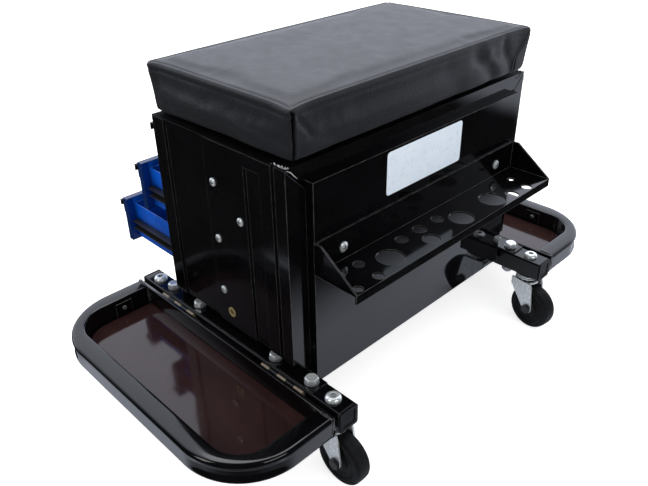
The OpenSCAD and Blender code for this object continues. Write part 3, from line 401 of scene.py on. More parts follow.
# Painted shade: a darker copy of the blue paint for the drawer fronts
SHADED_BLUE = enamel("blue_enamel_shaded", (0.0002, 0.014, 0.08), 0.2, wear_and_highlight=0.1)
STEEL = plating("bare_steel", (0.8, 0.8, 0.8), (0.3, 0.29, 0.28), 0.2, 0.6)
NODE_FINISHES = {
    "hinge_fixed_leaves": plating("dull_plate", (0.3, 0.25, 0.19), (0.17, 0.145, 0.11), 0.42),
    "frame_nuts_and_washers": plating("grey_plate", (0.34, 0.35, 0.37), (0.2, 0.21, 0.22), 0.34),
    "left_hinges_and_rivets": HINGES, "right_hinges_and_rivets": HINGES, "cabinet_top": shaded_top_enamel(),
    **{f"{place}_axle": AXLES for place in ("rear_left", "rear_right", "front_left", "front_right")},
    **{f"{place}_drawer_front": SHADED_BLUE for place in ("top", "middle", "bottom")}}


# Carried-over construction: real edges and finishes
SLOT_OF = {part["node"]: part["material_slot"] for part in frame["record"]["subparts"]}
EDGE_RADIUS = 0.35 * MM
EDGE_RADII = {"tool_rack": 0.8 * MM, "rear_panel": 0.8 * MM, "cabinet_top": 0.75 * MM}
EDGE_SEGMENTS = 2
SHARP = math.radians(38)
FLAT = math.radians(0.4)
WELD_REACH = 0.002 * MM


def add_modifier(piece, kind, **values):
    made = piece.modifiers.new(kind.lower(), kind)
    for key, value in values.items():
        setattr(made, key, value)
    return made


def finish_node(name):
    """Gives a node its finish and softened edges, by modifiers that leave its own mesh alone."""
    piece = NODES[name]
    piece.data.materials.clear()
    piece.data.materials.append(NODE_FINISHES.get(name, FINISHES[SLOT_OF[name]]))
    add_modifier(piece, "WELD", merge_threshold=WELD_REACH)
    add_modifier(piece, "DECIMATE", decimate_type="DISSOLVE", angle_limit=FLAT)
    add_modifier(piece, "BEVEL", width=EDGE_RADII.get(name, EDGE_RADIUS), segments=EDGE_SEGMENTS,
                 limit_method="ANGLE", angle_limit=SHARP, harden_normals=False)
    add_modifier(piece, "WEIGHTED_NORMAL", keep_sharp=True)


for name in sorted(NODES):
    finish_node(name)


# Mesh helpers
def new_piece(name, vertices, faces, smooth=True):
    """A mesh object in the scene from plain lists of points and faces."""
    mesh = bpy.data.meshes.new(name)
    mesh.from_pydata([tuple(v) for v in vertices], [], faces)
    mesh.update()
    if smooth:
        mesh.shade_smooth()
    return add_object(name, mesh)


def finish_piece(piece, body, slot, material=None):
    """Gives a new piece its body and its finish: the material given, or the finish of its record slot."""
    piece.data.materials.append(material or FINISHES[slot])
    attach(piece, body)


def bake_modifiers(piece):
    """Turns a piece's modifiers into its mesh."""
    graph = bpy.context.evaluated_depsgraph_get()
    mesh = bpy.data.meshes.new_from_object(piece.evaluated_get(graph))
    piece.modifiers.clear()
    piece.data = mesh
    mesh.shade_smooth()


def edit_mesh(piece, change):
    shape = bmesh.new()
    shape.from_mesh(piece.data)
    change(shape)
    shape.to_mesh(piece.data)
    shape.free()
    piece.data.update()
    piece.data.shade_smooth()


def smooth_outward(piece, degrees):
    """Turns all faces outward, and shades smooth the edges that are flatter than degrees."""
    edit_mesh(piece, lambda shape: bmesh.ops.recalc_face_normals(shape, faces=shape.faces[:]))
    piece.data.set_sharp_from_angle(angle=math.radians(degrees))


def rounded_box(low, high, radius, steps):
    """A box with softened edges, as points and faces."""
    shape = bmesh.new()
    bmesh.ops.create_cube(shape, size=1)
    size = high - low
    for vertex in shape.verts:
        vertex.co = (high + low) / 2 + Vector(vertex.co[i] * size[i] for i in range(3))
    bmesh.ops.bevel(shape, geom=shape.edges[:], offset=radius, segments=steps, profile=0.5, affect="EDGES")
    shape.verts.index_update()
    found = [tuple(v.co) for v in shape.verts], [tuple(v.index for v in face.verts) for face in shape.faces]
    shape.free()
    return found


def read_points(piece):
    flat = np.empty(len(piece.data.vertices) * 3)
    piece.data.vertices.foreach_get("co", flat)
    return flat.reshape(-1, 3)


def write_points(piece, points):
    piece.data.vertices.foreach_set("co", points.ravel())
    piece.data.update()


def bell(distance, width):
    return np.exp(-(distance / width) ** 2)


def rise(value, start, end):
    """0 before start, 1 after end, smooth in between."""
    share = np.clip((value - start) / (end - start), 0, 1)
    return share * share * (3 - 2 * share)


WAVE_COUNT = 6
WAVE_SPREAD = (0.6, 1.5)
WAVE_START = (0, 6.28)
WAVE_SCALE = 3.5


def waves(points, length, seed):
    """Smooth pseudo-random waves of about the given length, mostly between -1 and 1."""
    draw = np.random.default_rng(seed)
    total = np.zeros(len(points))
    for _ in range(WAVE_COUNT):
        way = draw.normal(size=3)
        way /= np.linalg.norm(way)
        pace, start = draw.uniform(*WAVE_SPREAD), draw.uniform(*WAVE_START)
        total += np.sin(points @ way * (2 * math.pi / length) * pace + start)
    return total / WAVE_SCALE


# Cushion
CUSHION_VOXEL = 4 * MM
CUSHION_SWELL_CAP = 3.0 * MM
CUSHION_SWELL_SPAN = mm(5, 34)
CUSHION_FRAMES = 20
CUSHION_EDGE, CUSHION_EDGE_STEPS = 5 * MM, 3
CUSHION_TOP_DROP = 2.0 * MM
REST_HEIGHT = 3 * MM
LEAST_LENGTH = 1e-9
CLOTH_SETTINGS = {
    "quality": 5, "mass": 0.3, "tension_stiffness": 18, "compression_stiffness": 18, "shear_stiffness": 8,
    "bending_stiffness": 1.5, "use_pressure": True, "uniform_pressure_force": 4, "vertex_group_mass": "rests"}


def cushion_start(low, high):
    """Square-edged foam block in the cushion's space, as an even mesh."""
    piece = new_piece("seat_cover", *rounded_box(low, high, CUSHION_EDGE, CUSHION_EDGE_STEPS))
    add_modifier(piece, "REMESH", mode="VOXEL", voxel_size=CUSHION_VOXEL)
    bake_modifiers(piece)
    return piece


def swell(piece, low, high):
    """Blows the cover up like foam under vinyl, and keeps the tailored edges in their place."""
    start = read_points(piece)
    group = piece.vertex_groups.new(name="rests")
    group.add([i for i in range(len(start)) if start[i, 2] < low[2] + REST_HEIGHT], 1.0, "REPLACE")
    settings = add_modifier(piece, "CLOTH").settings
    for key, value in CLOTH_SETTINGS.items():
        setattr(settings, key, value)
    settings.effector_weights.gravity = 0
    for number in range(1, CUSHION_FRAMES + 1):
        bpy.context.scene.frame_set(number)
    bake_modifiers(piece)
    bpy.context.scene.frame_set(1)
    moved = read_points(piece) - start
    inside = np.sort(np.minimum(start - low, high - start), axis=1)
    moved *= rise(inside[:, 1], *CUSHION_SWELL_SPAN)[:, None]
    length = np.maximum(np.linalg.norm(moved, axis=1, keepdims=True), LEAST_LENGTH)
    write_points(piece, start + moved * np.minimum(1, CUSHION_SWELL_CAP / length))


def refine(piece, chosen, cuts):
    """Splits the edges whose middle is chosen, so that narrow folds have enough points."""
    def split(shape):
        near = [edge for edge in shape.edges if chosen((edge.verts[0].co + edge.verts[1].co) / 2)]
        bmesh.ops.subdivide_edges(shape, edges=near, cuts=cuts, use_grid_fill=True)

    edit_mesh(piece, split)


# Shares of the cover's height run from 0 at the hem to 1 at the top
TOP_SPAN = (0.72, 0.9)
ROLL_HIGH, ROLL_IN, ROLL_WIDE = mm(1.0, 2.2, 2.4)
SEAM_DEEP, SEAM_IN, SEAM_WIDE = mm(1.5, 6.0, 1.5)
SWAY_HIGH, SWAY_LONG, SWAY_SPAN = 0.35 * MM, 110 * MM, mm(10, 40)
CORNER_DROP, CORNER_REACH = mm(0.9, 22)
SIDE_SPAN = mm(6, 16)
HOLLOW, LEAN = mm(1.3, 0.9)
GROOVE_DEEP, GROOVE_UP, GROOVE_WIDE = 0.9 * MM, 0.84, 0.04
FOLD_DEEP, FOLD_LONG, FOLD_SPAN, FOLD_STRETCH = 0.6 * MM, 70 * MM, mm(4, 25), (1, 1, 0.45)
PULL_REACH, PULL_RISE, PULL_HEM = mm(15, 3.9, 0.9)
HEM_DROP, HEM_REACH, HEM_SPAN = 2.8 * MM, 70 * MM, (0.0, 0.5)


def tailor(points, low, high):
    """Seam and roll along the top edge, sides that draw in, pulled corners and hem of the cover."""
    p = points.copy()
    middle, half = (low + high) / 2, (high - low) / 2
    x, y = p[:, 0] - middle[0], p[:, 1] - middle[1]
    up = (p[:, 2] - low[2]) / (high[2] - low[2])
    past_x, past_y = half[0] - np.abs(x), half[1] - np.abs(y)
    edge, corner = np.minimum(past_x, past_y), np.hypot(past_x, past_y)
    top = rise(up, *TOP_SPAN)
    p[:, 2] += top * ROLL_HIGH * bell(edge - ROLL_IN, ROLL_WIDE)
    p[:, 2] -= top * SEAM_DEEP * bell(edge - SEAM_IN, SEAM_WIDE)
    p[:, 2] += top * SWAY_HIGH * waves(points, SWAY_LONG, 3) * rise(edge, *SWAY_SPAN)
    p[:, 2] -= top * CORNER_DROP * bell(corner, CORNER_REACH)
    slack = HOLLOW * np.sin(math.pi * np.clip(up, 0, 1)) + LEAN * (1 - up)
    slack += GROOVE_DEEP * bell(up - GROOVE_UP, GROOVE_WIDE)
    folds = FOLD_DEEP * waves(points * np.array(FOLD_STRETCH), FOLD_LONG, 7)
    slack += (1 - top) * rise(corner, *FOLD_SPAN) * folds
    slack *= 1 - rise(edge, *SIDE_SPAN)
    pulled = bell(corner, PULL_REACH) * (PULL_RISE * up - PULL_HEM)
    p[:, 0] += np.sign(x) * (pulled - slack * (past_x < past_y))
    p[:, 1] += np.sign(y) * (pulled - slack * (past_x >= past_y))
    at_low_corner = np.hypot(high[0] - p[:, 0], p[:, 1] - low[1])
    p[:, 2] -= HEM_DROP * bell(at_low_corner, HEM_REACH) * (1 - rise(up, *HEM_SPAN))
    return p


# Creases in mm: start and end, each along the face and down from the top, then depth and width
NEAR_CREASES = (((9, 11), (25, 30), 1.5, 3.0), ((31, 33), (14, 31), 0.9, 2.6),
                ((16, 8), (48, 15), 0.5, 4.0), ((30, 30), (62, 44), 0.6, 6.0))
FAR_CREASES = (((108, 10), (66, 46), 2.3, 9.0), ((52, 6), (30, 46), 2.0, 7.0),
               ((160, 14), (128, 48), 0.7, 12.0), ((86, 8), (52, 44), -0.9, 6.0))
SIDE_CREASES = (((60, 24), (212, 34), 0.6, 5.0), ((150, 30), (216, 36), 0.6, 3.5),
                ((12, 16), (34, 46), 0.8, 7.0))
CREASE_START, CREASE_END = (-0.25, 0.2), (0.8, 1.3)
CREASED_FROM, CREASED_TO = mm(9, 4)


def crease(across, down, start, end, wide):
    """1 along the line from start to end, falling off to the sides and softly past its ends."""
    first, last = np.array(start) * MM, np.array(end) * MM
    along = last - first
    length = np.hypot(*along)
    share = ((across - first[0]) * along[0] + (down - first[1]) * along[1]) / length ** 2
    off = ((across - first[0]) * along[1] - (down - first[1]) * along[0]) / length
    return bell(off, wide * MM) * rise(share, *CREASE_START) * (1 - rise(share, *CREASE_END))


def gather(points, low, high):
    """Creases beside the near corner, soft folds at the far end of the rear face and along the side."""
    p = points.copy()
    left, rear = (rise(p[:, i], high[i] - CREASED_FROM, high[i] - CREASED_TO) for i in (0, 1))
    down = high[2] - p[:, 2]
    creased = ((1, rear, high[0] - p[:, 0], NEAR_CREASES), (1, rear, p[:, 0] - low[0], FAR_CREASES),
               (0, left, p[:, 1] - low[1], SIDE_CREASES))
    for axis, face, across, creases in creased:
        for start, end, deep, wide in creases:
            p[:, axis] -= face * deep * MM * crease(across, down, start, end, wide)
    return p


# Corner flaps: straight slits at three corners, and a slanted fold at the far rear one
FLAP_WIDE, FLAP_DEEP = mm(1.1, 5.0)
FLAP_DOWN, FLAP_IN = mm(3, 7), mm(3, 4.5)
STRAIGHT_IN, STRAIGHT_REACH = mm(4.2, 7)
SLIT_OPEN, SLIT_CLOSES, SLIT_SPAN = 1.5, 0.75, mm(6, 50)
# Depths over which a slit turns from the vinyl's colour to black: painted shade
SLIT_SHADE_SPAN = (0.1 * FLAP_DEEP, 0.4 * FLAP_DEEP)
SLANTED_IN, SLANTED_RUN, SLANTED_SPAN = 3.5 * MM, 20 * MM, mm(8, 38)
SLANTED_WIDE, SLANTED_DEEP, SLANTED_REACH = 0.8, 0.35, 30 * MM
WELT_HIGH, WELT_IN, WELT_WIDE = mm(0.7, 3.4, 1.6)
FACE_REACH = 6 * MM
TOP_REACH = 12 * MM


def near_top_edge(place, low, high):
    """Whether a point lies where the seam and the roll need more of them."""
    past = min(place.x - low[0], high[0] - place.x, place.y - low[1], high[1] - place.y)
    return place.z > high[2] - TOP_REACH and past < TOP_REACH


def near_flap(place, low, high):
    """Whether a point lies where the corner flaps need more of them."""
    at_face = min(high[1] - place.y, place.y - low[1]) < FACE_REACH
    reach = SLANTED_REACH if place.x < 0 < place.y else STRAIGHT_REACH
    return at_face and min(high[0] - place.x, place.x - low[0]) < reach


def corner_flaps(p, low, high):
    """How the folded corners move each point in X and Y, and how deep it lies in a slit, from 0 to 1, as the
    share of painted shade there.
    """
    moved, slit_shade = np.zeros((len(p), 2)), np.zeros(len(p))
    down = high[2] - p[:, 2]
    rear = p[:, 1] > (low[1] + high[1]) / 2
    for at_left in (True, False):
        inset = high[0] - p[:, 0] if at_left else p[:, 0] - low[0]
        for at_rear in (True, False):
            face_inset = high[1] - p[:, 1] if at_rear else p[:, 1] - low[1]
            share = rise(down, *FLAP_DOWN) * (1 - rise(face_inset, *FLAP_IN)) * (rear == at_rear)
            if at_left or not at_rear:
                off = inset - STRAIGHT_IN
                wide = FLAP_WIDE * (SLIT_OPEN - SLIT_CLOSES * rise(down, *SLIT_SPAN))
                deep = share * FLAP_DEEP * bell(off, wide)
                # Painted shade: the deeper a point lies in a slit, the blacker
                slit_shade += rise(deep, *SLIT_SHADE_SPAN)
                moved[:, 0] += -deep if at_left else deep
            else:
                off = inset - SLANTED_IN - SLANTED_RUN * rise(down, *SLANTED_SPAN)
                deep = share * SLANTED_DEEP * FLAP_DEEP * bell(off, SLANTED_WIDE * FLAP_WIDE)
            deep -= share * WELT_HIGH * bell(off - WELT_IN, WELT_WIDE)
            moved[:, 1] += -deep if at_rear else deep
    return moved, slit_shade


def make_cushion():
    low, high = (Vector(corner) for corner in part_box("seat_cushion"))
    high.z -= CUSHION_TOP_DROP
    corners = np.array(low), np.array(high)
    piece = cushion_start(low, high)
    swell(piece, *corners)
    add_modifier(piece, "SUBSURF", levels=1)
    bake_modifiers(piece)
    refine(piece, lambda place: near_top_edge(place, low, high), 1)
    refine(piece, lambda place: near_flap(place, low, high), 3)
    plain = read_points(piece)
    shaped = gather(tailor(plain, *corners), *corners)
    moved, slit_shade = corner_flaps(plain, *corners)
    shaped[:, 0:2] += moved
    write_points(piece, shaped)
    # The slits' painted shade goes to the vinyl as a point attribute
    piece.data.attributes.new("slit_shade", "FLOAT", "POINT").data.foreach_set("value", slit_shade)
    finish_piece(piece, "cabinet", "black_vinyl")
    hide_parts("seat_cushion")


make_cushion()


# Side trays: frames of bent square tube, and the mats that lie in them
TUBE_WIDE = 22 * MM
TUBE_BEND = 76 * MM
THROAT_BEND = 37 * MM
RAIL_THICK = 4 * MM
SHOULDER = 4.5 * MM
LIP = 3.2 * MM
FOOT = 2.0 * MM
DENT = 2.2 * MM
LEG_STEPS, BEND_STEPS, RUN_STEPS, ARC_STEPS = 6, 34, 10, 4
OUTER_STEPS, INNER_STEPS = 9, 7
DENT_START, DENT_END = (0.04, 0.2), (0.8, 0.96)
DENT_FOOT, DENT_TOP = mm(4, 7), mm(5.5, 8)
WRINKLES, WRINKLE_LONG = (0.2, 0.36, 0.5, 0.67, 0.82), 0.035
WRINKLE_OUT, WRINKLE_UP, WRINKLE_HIGH = mm(1.1, 9, 6)
RAIL_EDGE, RAIL_EDGE_STEPS = 0.7 * MM, 2
MAT_EDGE = 1.4 * MM
MAT_WALL = 0.7
MAT_STEPS = 7
MAT_WAVE, MAT_WAVE_LONG = mm(0.12, 60)


def arc_shares(steps):
    return [(math.sin(math.pi / 2 * k / steps), math.cos(math.pi / 2 * k / steps)) for k in range(steps + 1)]


def u_path(start, far, half, bend):
    """Points, outward normals and the share of each bend along a leg, a bend, a run, a bend and a leg."""
    reach, side = far - bend, half - bend
    turns = [(k / BEND_STEPS, s, c) for k, (s, c) in enumerate(arc_shares(BEND_STEPS)[:-1])]
    rows = [(start + (reach - start) * k / LEG_STEPS, half, 0, 1, 0) for k in range(LEG_STEPS)]
    rows += [(reach + bend * s, side + bend * c, s, c, turn) for turn, s, c in turns]
    rows += [(far, side * (1 - 2 * k / RUN_STEPS), 1, 0, 0) for k in range(RUN_STEPS)]
    rows += [(reach + bend * c, -side - bend * s, c, -s, 1 - turn) for turn, s, c in turns]
    rows += [(reach + (start - reach) * k / LEG_STEPS, -half, 0, -1, 0) for k in range(LEG_STEPS + 1)]
    table = np.array(rows)
    return table[:, 0:2], table[:, 2:4], table[:, 4]


def tube_profile(low, high):
    """Rows of (outer side or not, inset from the wall, height) once round the tube's section."""
    outer, inner = high - SHOULDER - low - FOOT, high - LIP - low - FOOT
    rows = [(True, FOOT * (1 - s), low + FOOT * (1 - c)) for s, c in arc_shares(ARC_STEPS)]
    rows += [(True, 0.0, low + FOOT + outer * k / OUTER_STEPS) for k in range(1, OUTER_STEPS)]
    rows += [(True, SHOULDER * (1 - c), high - SHOULDER * (1 - s)) for s, c in arc_shares(ARC_STEPS)]
    rows += [(False, LIP * (1 - s), high - LIP * (1 - c)) for s, c in arc_shares(ARC_STEPS)]
    rows += [(False, 0.0, high - LIP - inner * k / INNER_STEPS) for k in range(1, INNER_STEPS)]
    rows += [(False, FOOT * (1 - c), low + FOOT * (1 - s)) for s, c in arc_shares(ARC_STEPS)]
    return rows


def sweep_frame(low, high):
    """The bent tube: its outer wall is flattened in the bends, and its inner wall is wrinkled there."""
    start, far = low.x + RAIL_THICK, high.x
    middle, half = (low.y + high.y) / 2, (high.y - low.y) / 2
    outer, out_way, out_turn = u_path(start, far, half, TUBE_BEND)
    inner, in_way, in_turn = u_path(start, far - TUBE_WIDE, half - TUBE_WIDE, THROAT_BEND)
    flat = rise(out_turn, *DENT_START) * (1 - rise(out_turn, *DENT_END))
    pinch = sum(bell(in_turn - place, WRINKLE_LONG) for place in WRINKLES) * (in_turn > 0)
    rings = []
    for at_outer, inset, z in tube_profile(low.z, high.z):
        up, down = z - low.z, high.z - z
        if at_outer:
            dent = DENT * flat * rise(up, *DENT_FOOT) * rise(down, *DENT_TOP)
            flatways = outer - out_way * (inset + dent)[:, None]
        else:
            ripple = WRINKLE_OUT * pinch * bell(up - WRINKLE_UP, WRINKLE_HIGH)
            flatways = inner + in_way * (inset - ripple)[:, None]
        rings.append([(x, y + middle, z) for x, y in flatways])
    count, stations = len(rings), len(rings[0])
    faces = [(i * stations + k, j * stations + k, j * stations + k + 1, i * stations + k + 1)
             for i, j in zip(range(count), (*range(1, count), 0)) for k in range(stations - 1)]
    faces.append(tuple(i * stations for i in reversed(range(count))))
    faces.append(tuple(i * stations + stations - 1 for i in range(count)))
    return [point for ring in rings for point in ring], faces


def ring_faces(rings, sides, closed=False):
    """Faces between rings of points that follow each other. Closed joins the last ring to the first."""
    pairs = [(i * sides, (i + 1) % rings * sides) for i in range(rings if closed else rings - 1)]
    return [(i + k, i + (k + 1) % sides, j + (k + 1) % sides, j + k) for i, j in pairs for k in range(sides)]


def end_faces(rings, sides):
    """Faces that close the first and the last ring."""
    return [tuple(reversed(range(sides))), tuple((rings - 1) * sides + k for k in range(sides))]


BEAD_STEP, BEAD_LEAST, BEAD_SIDES = 0.45 * MM, 8, 10
BEAD_ASIDE = (0.13, 0.21, 0.97)
BEAD_TAPER, BEAD_TIP = 0.35, 0.02
RIPPLE_LONG, RIPPLE_BASE, RIPPLE_RISE = 1.5 * MM, 0.78, 0.22
RIPPLE_CHANCE = (0.93, 1.07)


def weld_bead(path, radius, seed):
    """A bead of overlapping ripples along a path, as points and faces."""
    draw = np.random.default_rng(seed)
    path = np.array(path, dtype=float)
    reach = np.concatenate(([0], np.cumsum(np.linalg.norm(np.diff(path, axis=0), axis=1))))
    count = max(BEAD_LEAST, int(reach[-1] / BEAD_STEP))

    def along(length):
        return np.array([np.interp(length, reach, path[:, i]) for i in range(3)])

    vertices = []
    for k in range(count + 1):
        at = reach[-1] * k / count
        way = along(at + MM) - along(at - MM)
        way /= np.linalg.norm(way)
        side = np.cross(way, BEAD_ASIDE)
        side /= np.linalg.norm(side)
        over = np.cross(side, way)
        ends = math.sin(math.pi * min(1, max(BEAD_TIP, k / count))) ** BEAD_TAPER
        ripple = RIPPLE_BASE + RIPPLE_RISE * abs(math.sin(math.pi * at / RIPPLE_LONG))
        size = radius * ripple * ends * draw.uniform(*RIPPLE_CHANCE)
        for m in range(BEAD_SIDES):
            turn = 2 * math.pi * m / BEAD_SIDES
            vertices.append(along(at) + size * (side * math.cos(turn) + over * math.sin(turn)))
    return vertices, ring_faces(count + 1, BEAD_SIDES) + end_faces(count + 1, BEAD_SIDES)


def joined(parts):
    """One list of points and one of faces from several."""
    vertices, faces = [], []
    for points, polygons in parts:
        shift = len(vertices)
        vertices += [tuple(point) for point in points]
        faces += [tuple(index + shift for index in polygon) for polygon in polygons]
    return vertices, faces


def on_side(side, shape):
    """The left tray's points and faces as they are, or mirrored for the right tray."""
    vertices, faces = shape
    if side == "left":
        return shape
    return [(-x, y, z) for x, y, z in vertices], [tuple(reversed(face)) for face in faces]


def make_tray_frame(side):
    """Bent tube, hinge rail and the beads that join them, on top, outside and inside."""
    low, high = (Vector(corner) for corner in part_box("left_tray_frame"))
    seam, tall = low.x + RAIL_THICK, high.z - low.z
    beads = (((3 * MM, 0), (19 * MM, 0), 1.5 * MM, 11), ((MM, 4 * MM), (MM, tall - 4 * MM), 2.0 * MM, 12),
             ((TUBE_WIDE, 3 * MM), (TUBE_WIDE, tall - 3 * MM), 1.4 * MM, 13))
    rail = rounded_box(low, Vector((seam, high.y, high.z)), RAIL_EDGE, RAIL_EDGE_STEPS)
    parts = [sweep_frame(low, high), rail]
    for wall, sign in ((high.y, -1), (low.y, 1)):
        for start, end, radius, seed in beads:
            path = [(seam, wall + sign * inset, high.z - down) for inset, down in (start, end)]
            parts.append(weld_bead(path, radius, seed))
    piece = new_piece(f"{side}_tray_bent_frame", *on_side(side, joined(parts)))
    smooth_outward(piece, 50)
    finish_piece(piece, f"{side}_tray", "black_paint")
    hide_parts(f"{side}_tray_frame")


def make_tray_mat(side):
    """Thin mat cut to the frame's inner line, with a softened edge and slow waves in its top."""
    low, high = (Vector(corner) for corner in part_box("left_tray_frame"))
    mat_low, mat_high = (Vector(corner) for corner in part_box("left_tray_mat"))
    middle, half = (low.y + high.y) / 2, (high.y - low.y) / 2
    gap = high.x - TUBE_WIDE - mat_high.x
    line, way, _ = u_path(mat_low.x, mat_high.x, half - TUBE_WIDE - gap, THROAT_BEND - gap)
    inner = line - way * MAT_EDGE
    centre = np.array(((mat_low.x + mat_high.x) / 2, 0.0))
    thick = mat_high.z - mat_low.z
    rings = [(line, mat_low.z), (line, mat_low.z + MAT_WALL * thick),
             (line - way * (1 - MAT_WALL) * thick, mat_high.z), (inner, mat_high.z)]
    rings += [(inner + (centre - inner) * k / MAT_STEPS, mat_high.z) for k in range(1, MAT_STEPS)]
    vertices = [(x, y + middle, z) for flat, z in rings for x, y in flat]
    top, foot = len(vertices), len(vertices) + 1
    vertices += [(centre[0], middle, z) for z in (mat_high.z, mat_low.z)]
    stations = len(line)
    last = top - stations
    faces = ring_faces(len(rings), stations)
    faces += [(last + m, last + (m + 1) % stations, top) for m in range(stations)]
    faces += [((m + 1) % stations, m, foot) for m in range(stations)]
    piece = new_piece(f"{side}_tray_loose_mat", *on_side(side, (vertices, faces)))
    points = read_points(piece)
    lift = waves(points * np.array((1, 1, 0)), MAT_WAVE_LONG, 21) + 1
    points[:, 2] += MAT_WAVE * lift * (points[:, 2] > (mat_low.z + mat_high.z) / 2)
    write_points(piece, points)
    smooth_outward(piece, 40)
    finish_piece(piece, f"{side}_tray", "tray_mat")
    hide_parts(f"{side}_tray_mat")


for tray_side in ("left", "right"):
    make_tray_frame(tray_side)
    make_tray_mat(tray_side)


# Turned parts: wheels, swivel races and bolts
TURN_STEPS = 72
STEM_X, STEM_Y, MODEL_SHIFT = mm(187, 155, 13)
BOLT_YS = mm(69, 124, -69, -124)
BOLT_TURN, BOLT_NEXT_TURN = 0.4, 0.7
RACE_HIGH, RACE_SOCKET, BUTTON_HIGH, HEX_HIGH = 4.5, 6.4, 5.5, 5.3
TRAIL, AXLE_Z = mm(15, 30)
CASTERS = {"rear_left": (1, 1, 0.0), "rear_right": (-1, 1, -8.0), "front_left": (1, -1, 0.0),
           "front_right": (-1, -1, 0.0)}


def hexagon(turn, inner):
    """Distance of a hexagon's outline, inner from the centre to its flats."""
    return inner / math.cos((turn + math.pi / 6) % (math.pi / 3) - math.pi / 6)


def turned(rows, closed=False, sides=TURN_STEPS):
    """Points and faces of a profile turned once. A row may name a hexagon's inner radius after its height."""
    vertices = []
    for radius, height, *flats in rows:
        for k in range(sides):
            turn = 2 * math.pi * k / sides
            reach = min(radius, hexagon(turn, flats[0])) if flats else radius
            vertices.append((reach * math.cos(turn) * MM, reach * math.sin(turn) * MM, height * MM))
    faces = ring_faces(len(rows), sides, closed)
    return vertices, faces if closed else faces + end_faces(len(rows), sides)


def placed(parts, matrix):
    vertices, faces = parts
    return [tuple(matrix @ Vector(point)) for point in vertices], faces


def standing(x, y):
    return Matrix.Translation((x, y + MODEL_SHIFT, 0))


STEMS = [standing(x * STEM_X, y * STEM_Y) for x in (-1, 1) for y in (-1, 1)]


def turned_piece(name, parts, old, body="cabinet", slot="zinc", sharp=32):
    piece = new_piece(name, *joined(parts))
    smooth_outward(piece, sharp)
    finish_piece(piece, body, slot)
    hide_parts(old)


def wheel_profile():
    """The wheel's section from the bore out and back: hub, dished web, ribbed wall and round shoulder."""
    half = [(4.3, 9.4), (4.8, 9.9), (10.0, 9.9), (10.9, 9.2), (11.2, 7.7), (12.2, 7.4), (15.5, 7.4),
            (16.0, 7.7), (16.9, 7.7), (17.4, 7.4), (20.6, 7.4), (21.6, 7.9), (22.2, 9.1), (22.9, 9.5),
            (23.8, 9.5), (24.1, 9.25), (24.6, 9.25), (24.9, 9.5)]
    half += [(26 + 3.7 * s, 5.5 + 4.0 * c) for s, c in arc_shares(8)]
    half += [(29.9, 3.4), (30.0, 1.2)]
    return half + [(radius, -across) for radius, across in reversed(half)]


def race_profile(low, plate, top, socket):
    """Swivel race: riveted head, shank and a plate of two rolled rims with a groove between them."""
    head = [(3.0, 0), (9.3, 0), (10, 0.7), (10, 2.6), (9.6, 3), (7, 3)]
    rims = [(7, 0), (13.6, 0), (14.5, 0.3), (15, 0.9), (15, 1.5), (14.5, 2.0), (13.6, 2.2), (13.6, 2.6),
            (14.5, 2.8), (15, 3.2), (15, 3.8)]
    return [*((r, low + up) for r, up in head), *((r, plate + up) for r, up in rims),
            (14.6, top - 0.2), (13.9, top), (5.2, top), (5.2, socket)]


def button_profile(low, seat, top):
    """Threaded stem with a low button head and a hexagon socket."""
    return [(4.4, low), (5, low + 0.6), (5, seat), (8.4, seat), (8.75, seat + 0.4), (8.7, seat + 1.6),
            (8.2, seat + 3.0), (7.3, seat + 4.2), (6.2, top - 0.5), (5.2, top - 0.15), (4.4, top),
            (3.9, top - 0.1), (4, top - 0.35, 3.1), (4, top - 2.6, 3.0), (2.2, top - 3.1)]


def hex_bolt_profile(low, seat, top):
    """Threaded shank with a chamfered hexagon head and a shallow dish on top."""
    rows = [(2.9, low), (4, low + 1.1), (4, seat), (6.2, seat), (6.3, seat + 0.35), (8, seat + 0.4, 6.5)]
    for below in (0.95, 0.65, 0.4, 0.2, 0.0):
        rows.append((5.9 + 1.73 * below, top - below, 6.5))
    return rows + [(5.5, top - 0.02), (4.9, top - 0.3), (2.6, top - 0.42), (0.4, top - 0.4)]


def make_wheels():
    for name, (x, y, degrees) in CASTERS.items():
        swivel = Matrix.Rotation(math.radians(degrees), 4, "Z")
        stand = standing(x * STEM_X, y * STEM_Y) @ swivel
        axle = Matrix.Translation((0, TRAIL, AXLE_Z)) @ Matrix.Rotation(math.pi / 2, 4, "Y")
        parts, wheel = [placed(turned(wheel_profile(), closed=True), stand @ axle)], f"{name}_wheel"
        turned_piece(f"{name}_moulded_wheel", parts, wheel, wheel, "black_rubber", sharp=50)


def make_fasteners():
    low, high = (corner[2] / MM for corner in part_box("caster_kingpins"))
    race = turned(race_profile(low, high - RACE_HIGH, high, low + RACE_SOCKET))
    turned_piece("caster_swivel_races", [placed(race, stem) for stem in STEMS], "caster_kingpins")
    low, high = (corner[2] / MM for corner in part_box("caster_bolts"))
    button = turned(button_profile(low, high - BUTTON_HIGH, high))
    turned_piece("caster_button_bolts", [placed(button, stem) for stem in STEMS], "caster_bolts")
    low, high = (corner[2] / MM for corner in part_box("frame_bolts"))
    bolt = turned(hex_bolt_profile(low, high - HEX_HIGH, high))
    parts = []
    for number, (x, y) in enumerate((x, y) for x in (-STEM_X, STEM_X) for y in BOLT_YS):
        turn = Matrix.Rotation(BOLT_TURN + BOLT_NEXT_TURN * number, 4, "Z")
        parts.append(placed(bolt, standing(x, y) @ turn))
    turned_piece("frame_hex_bolts", parts, "frame_bolts", sharp=25)


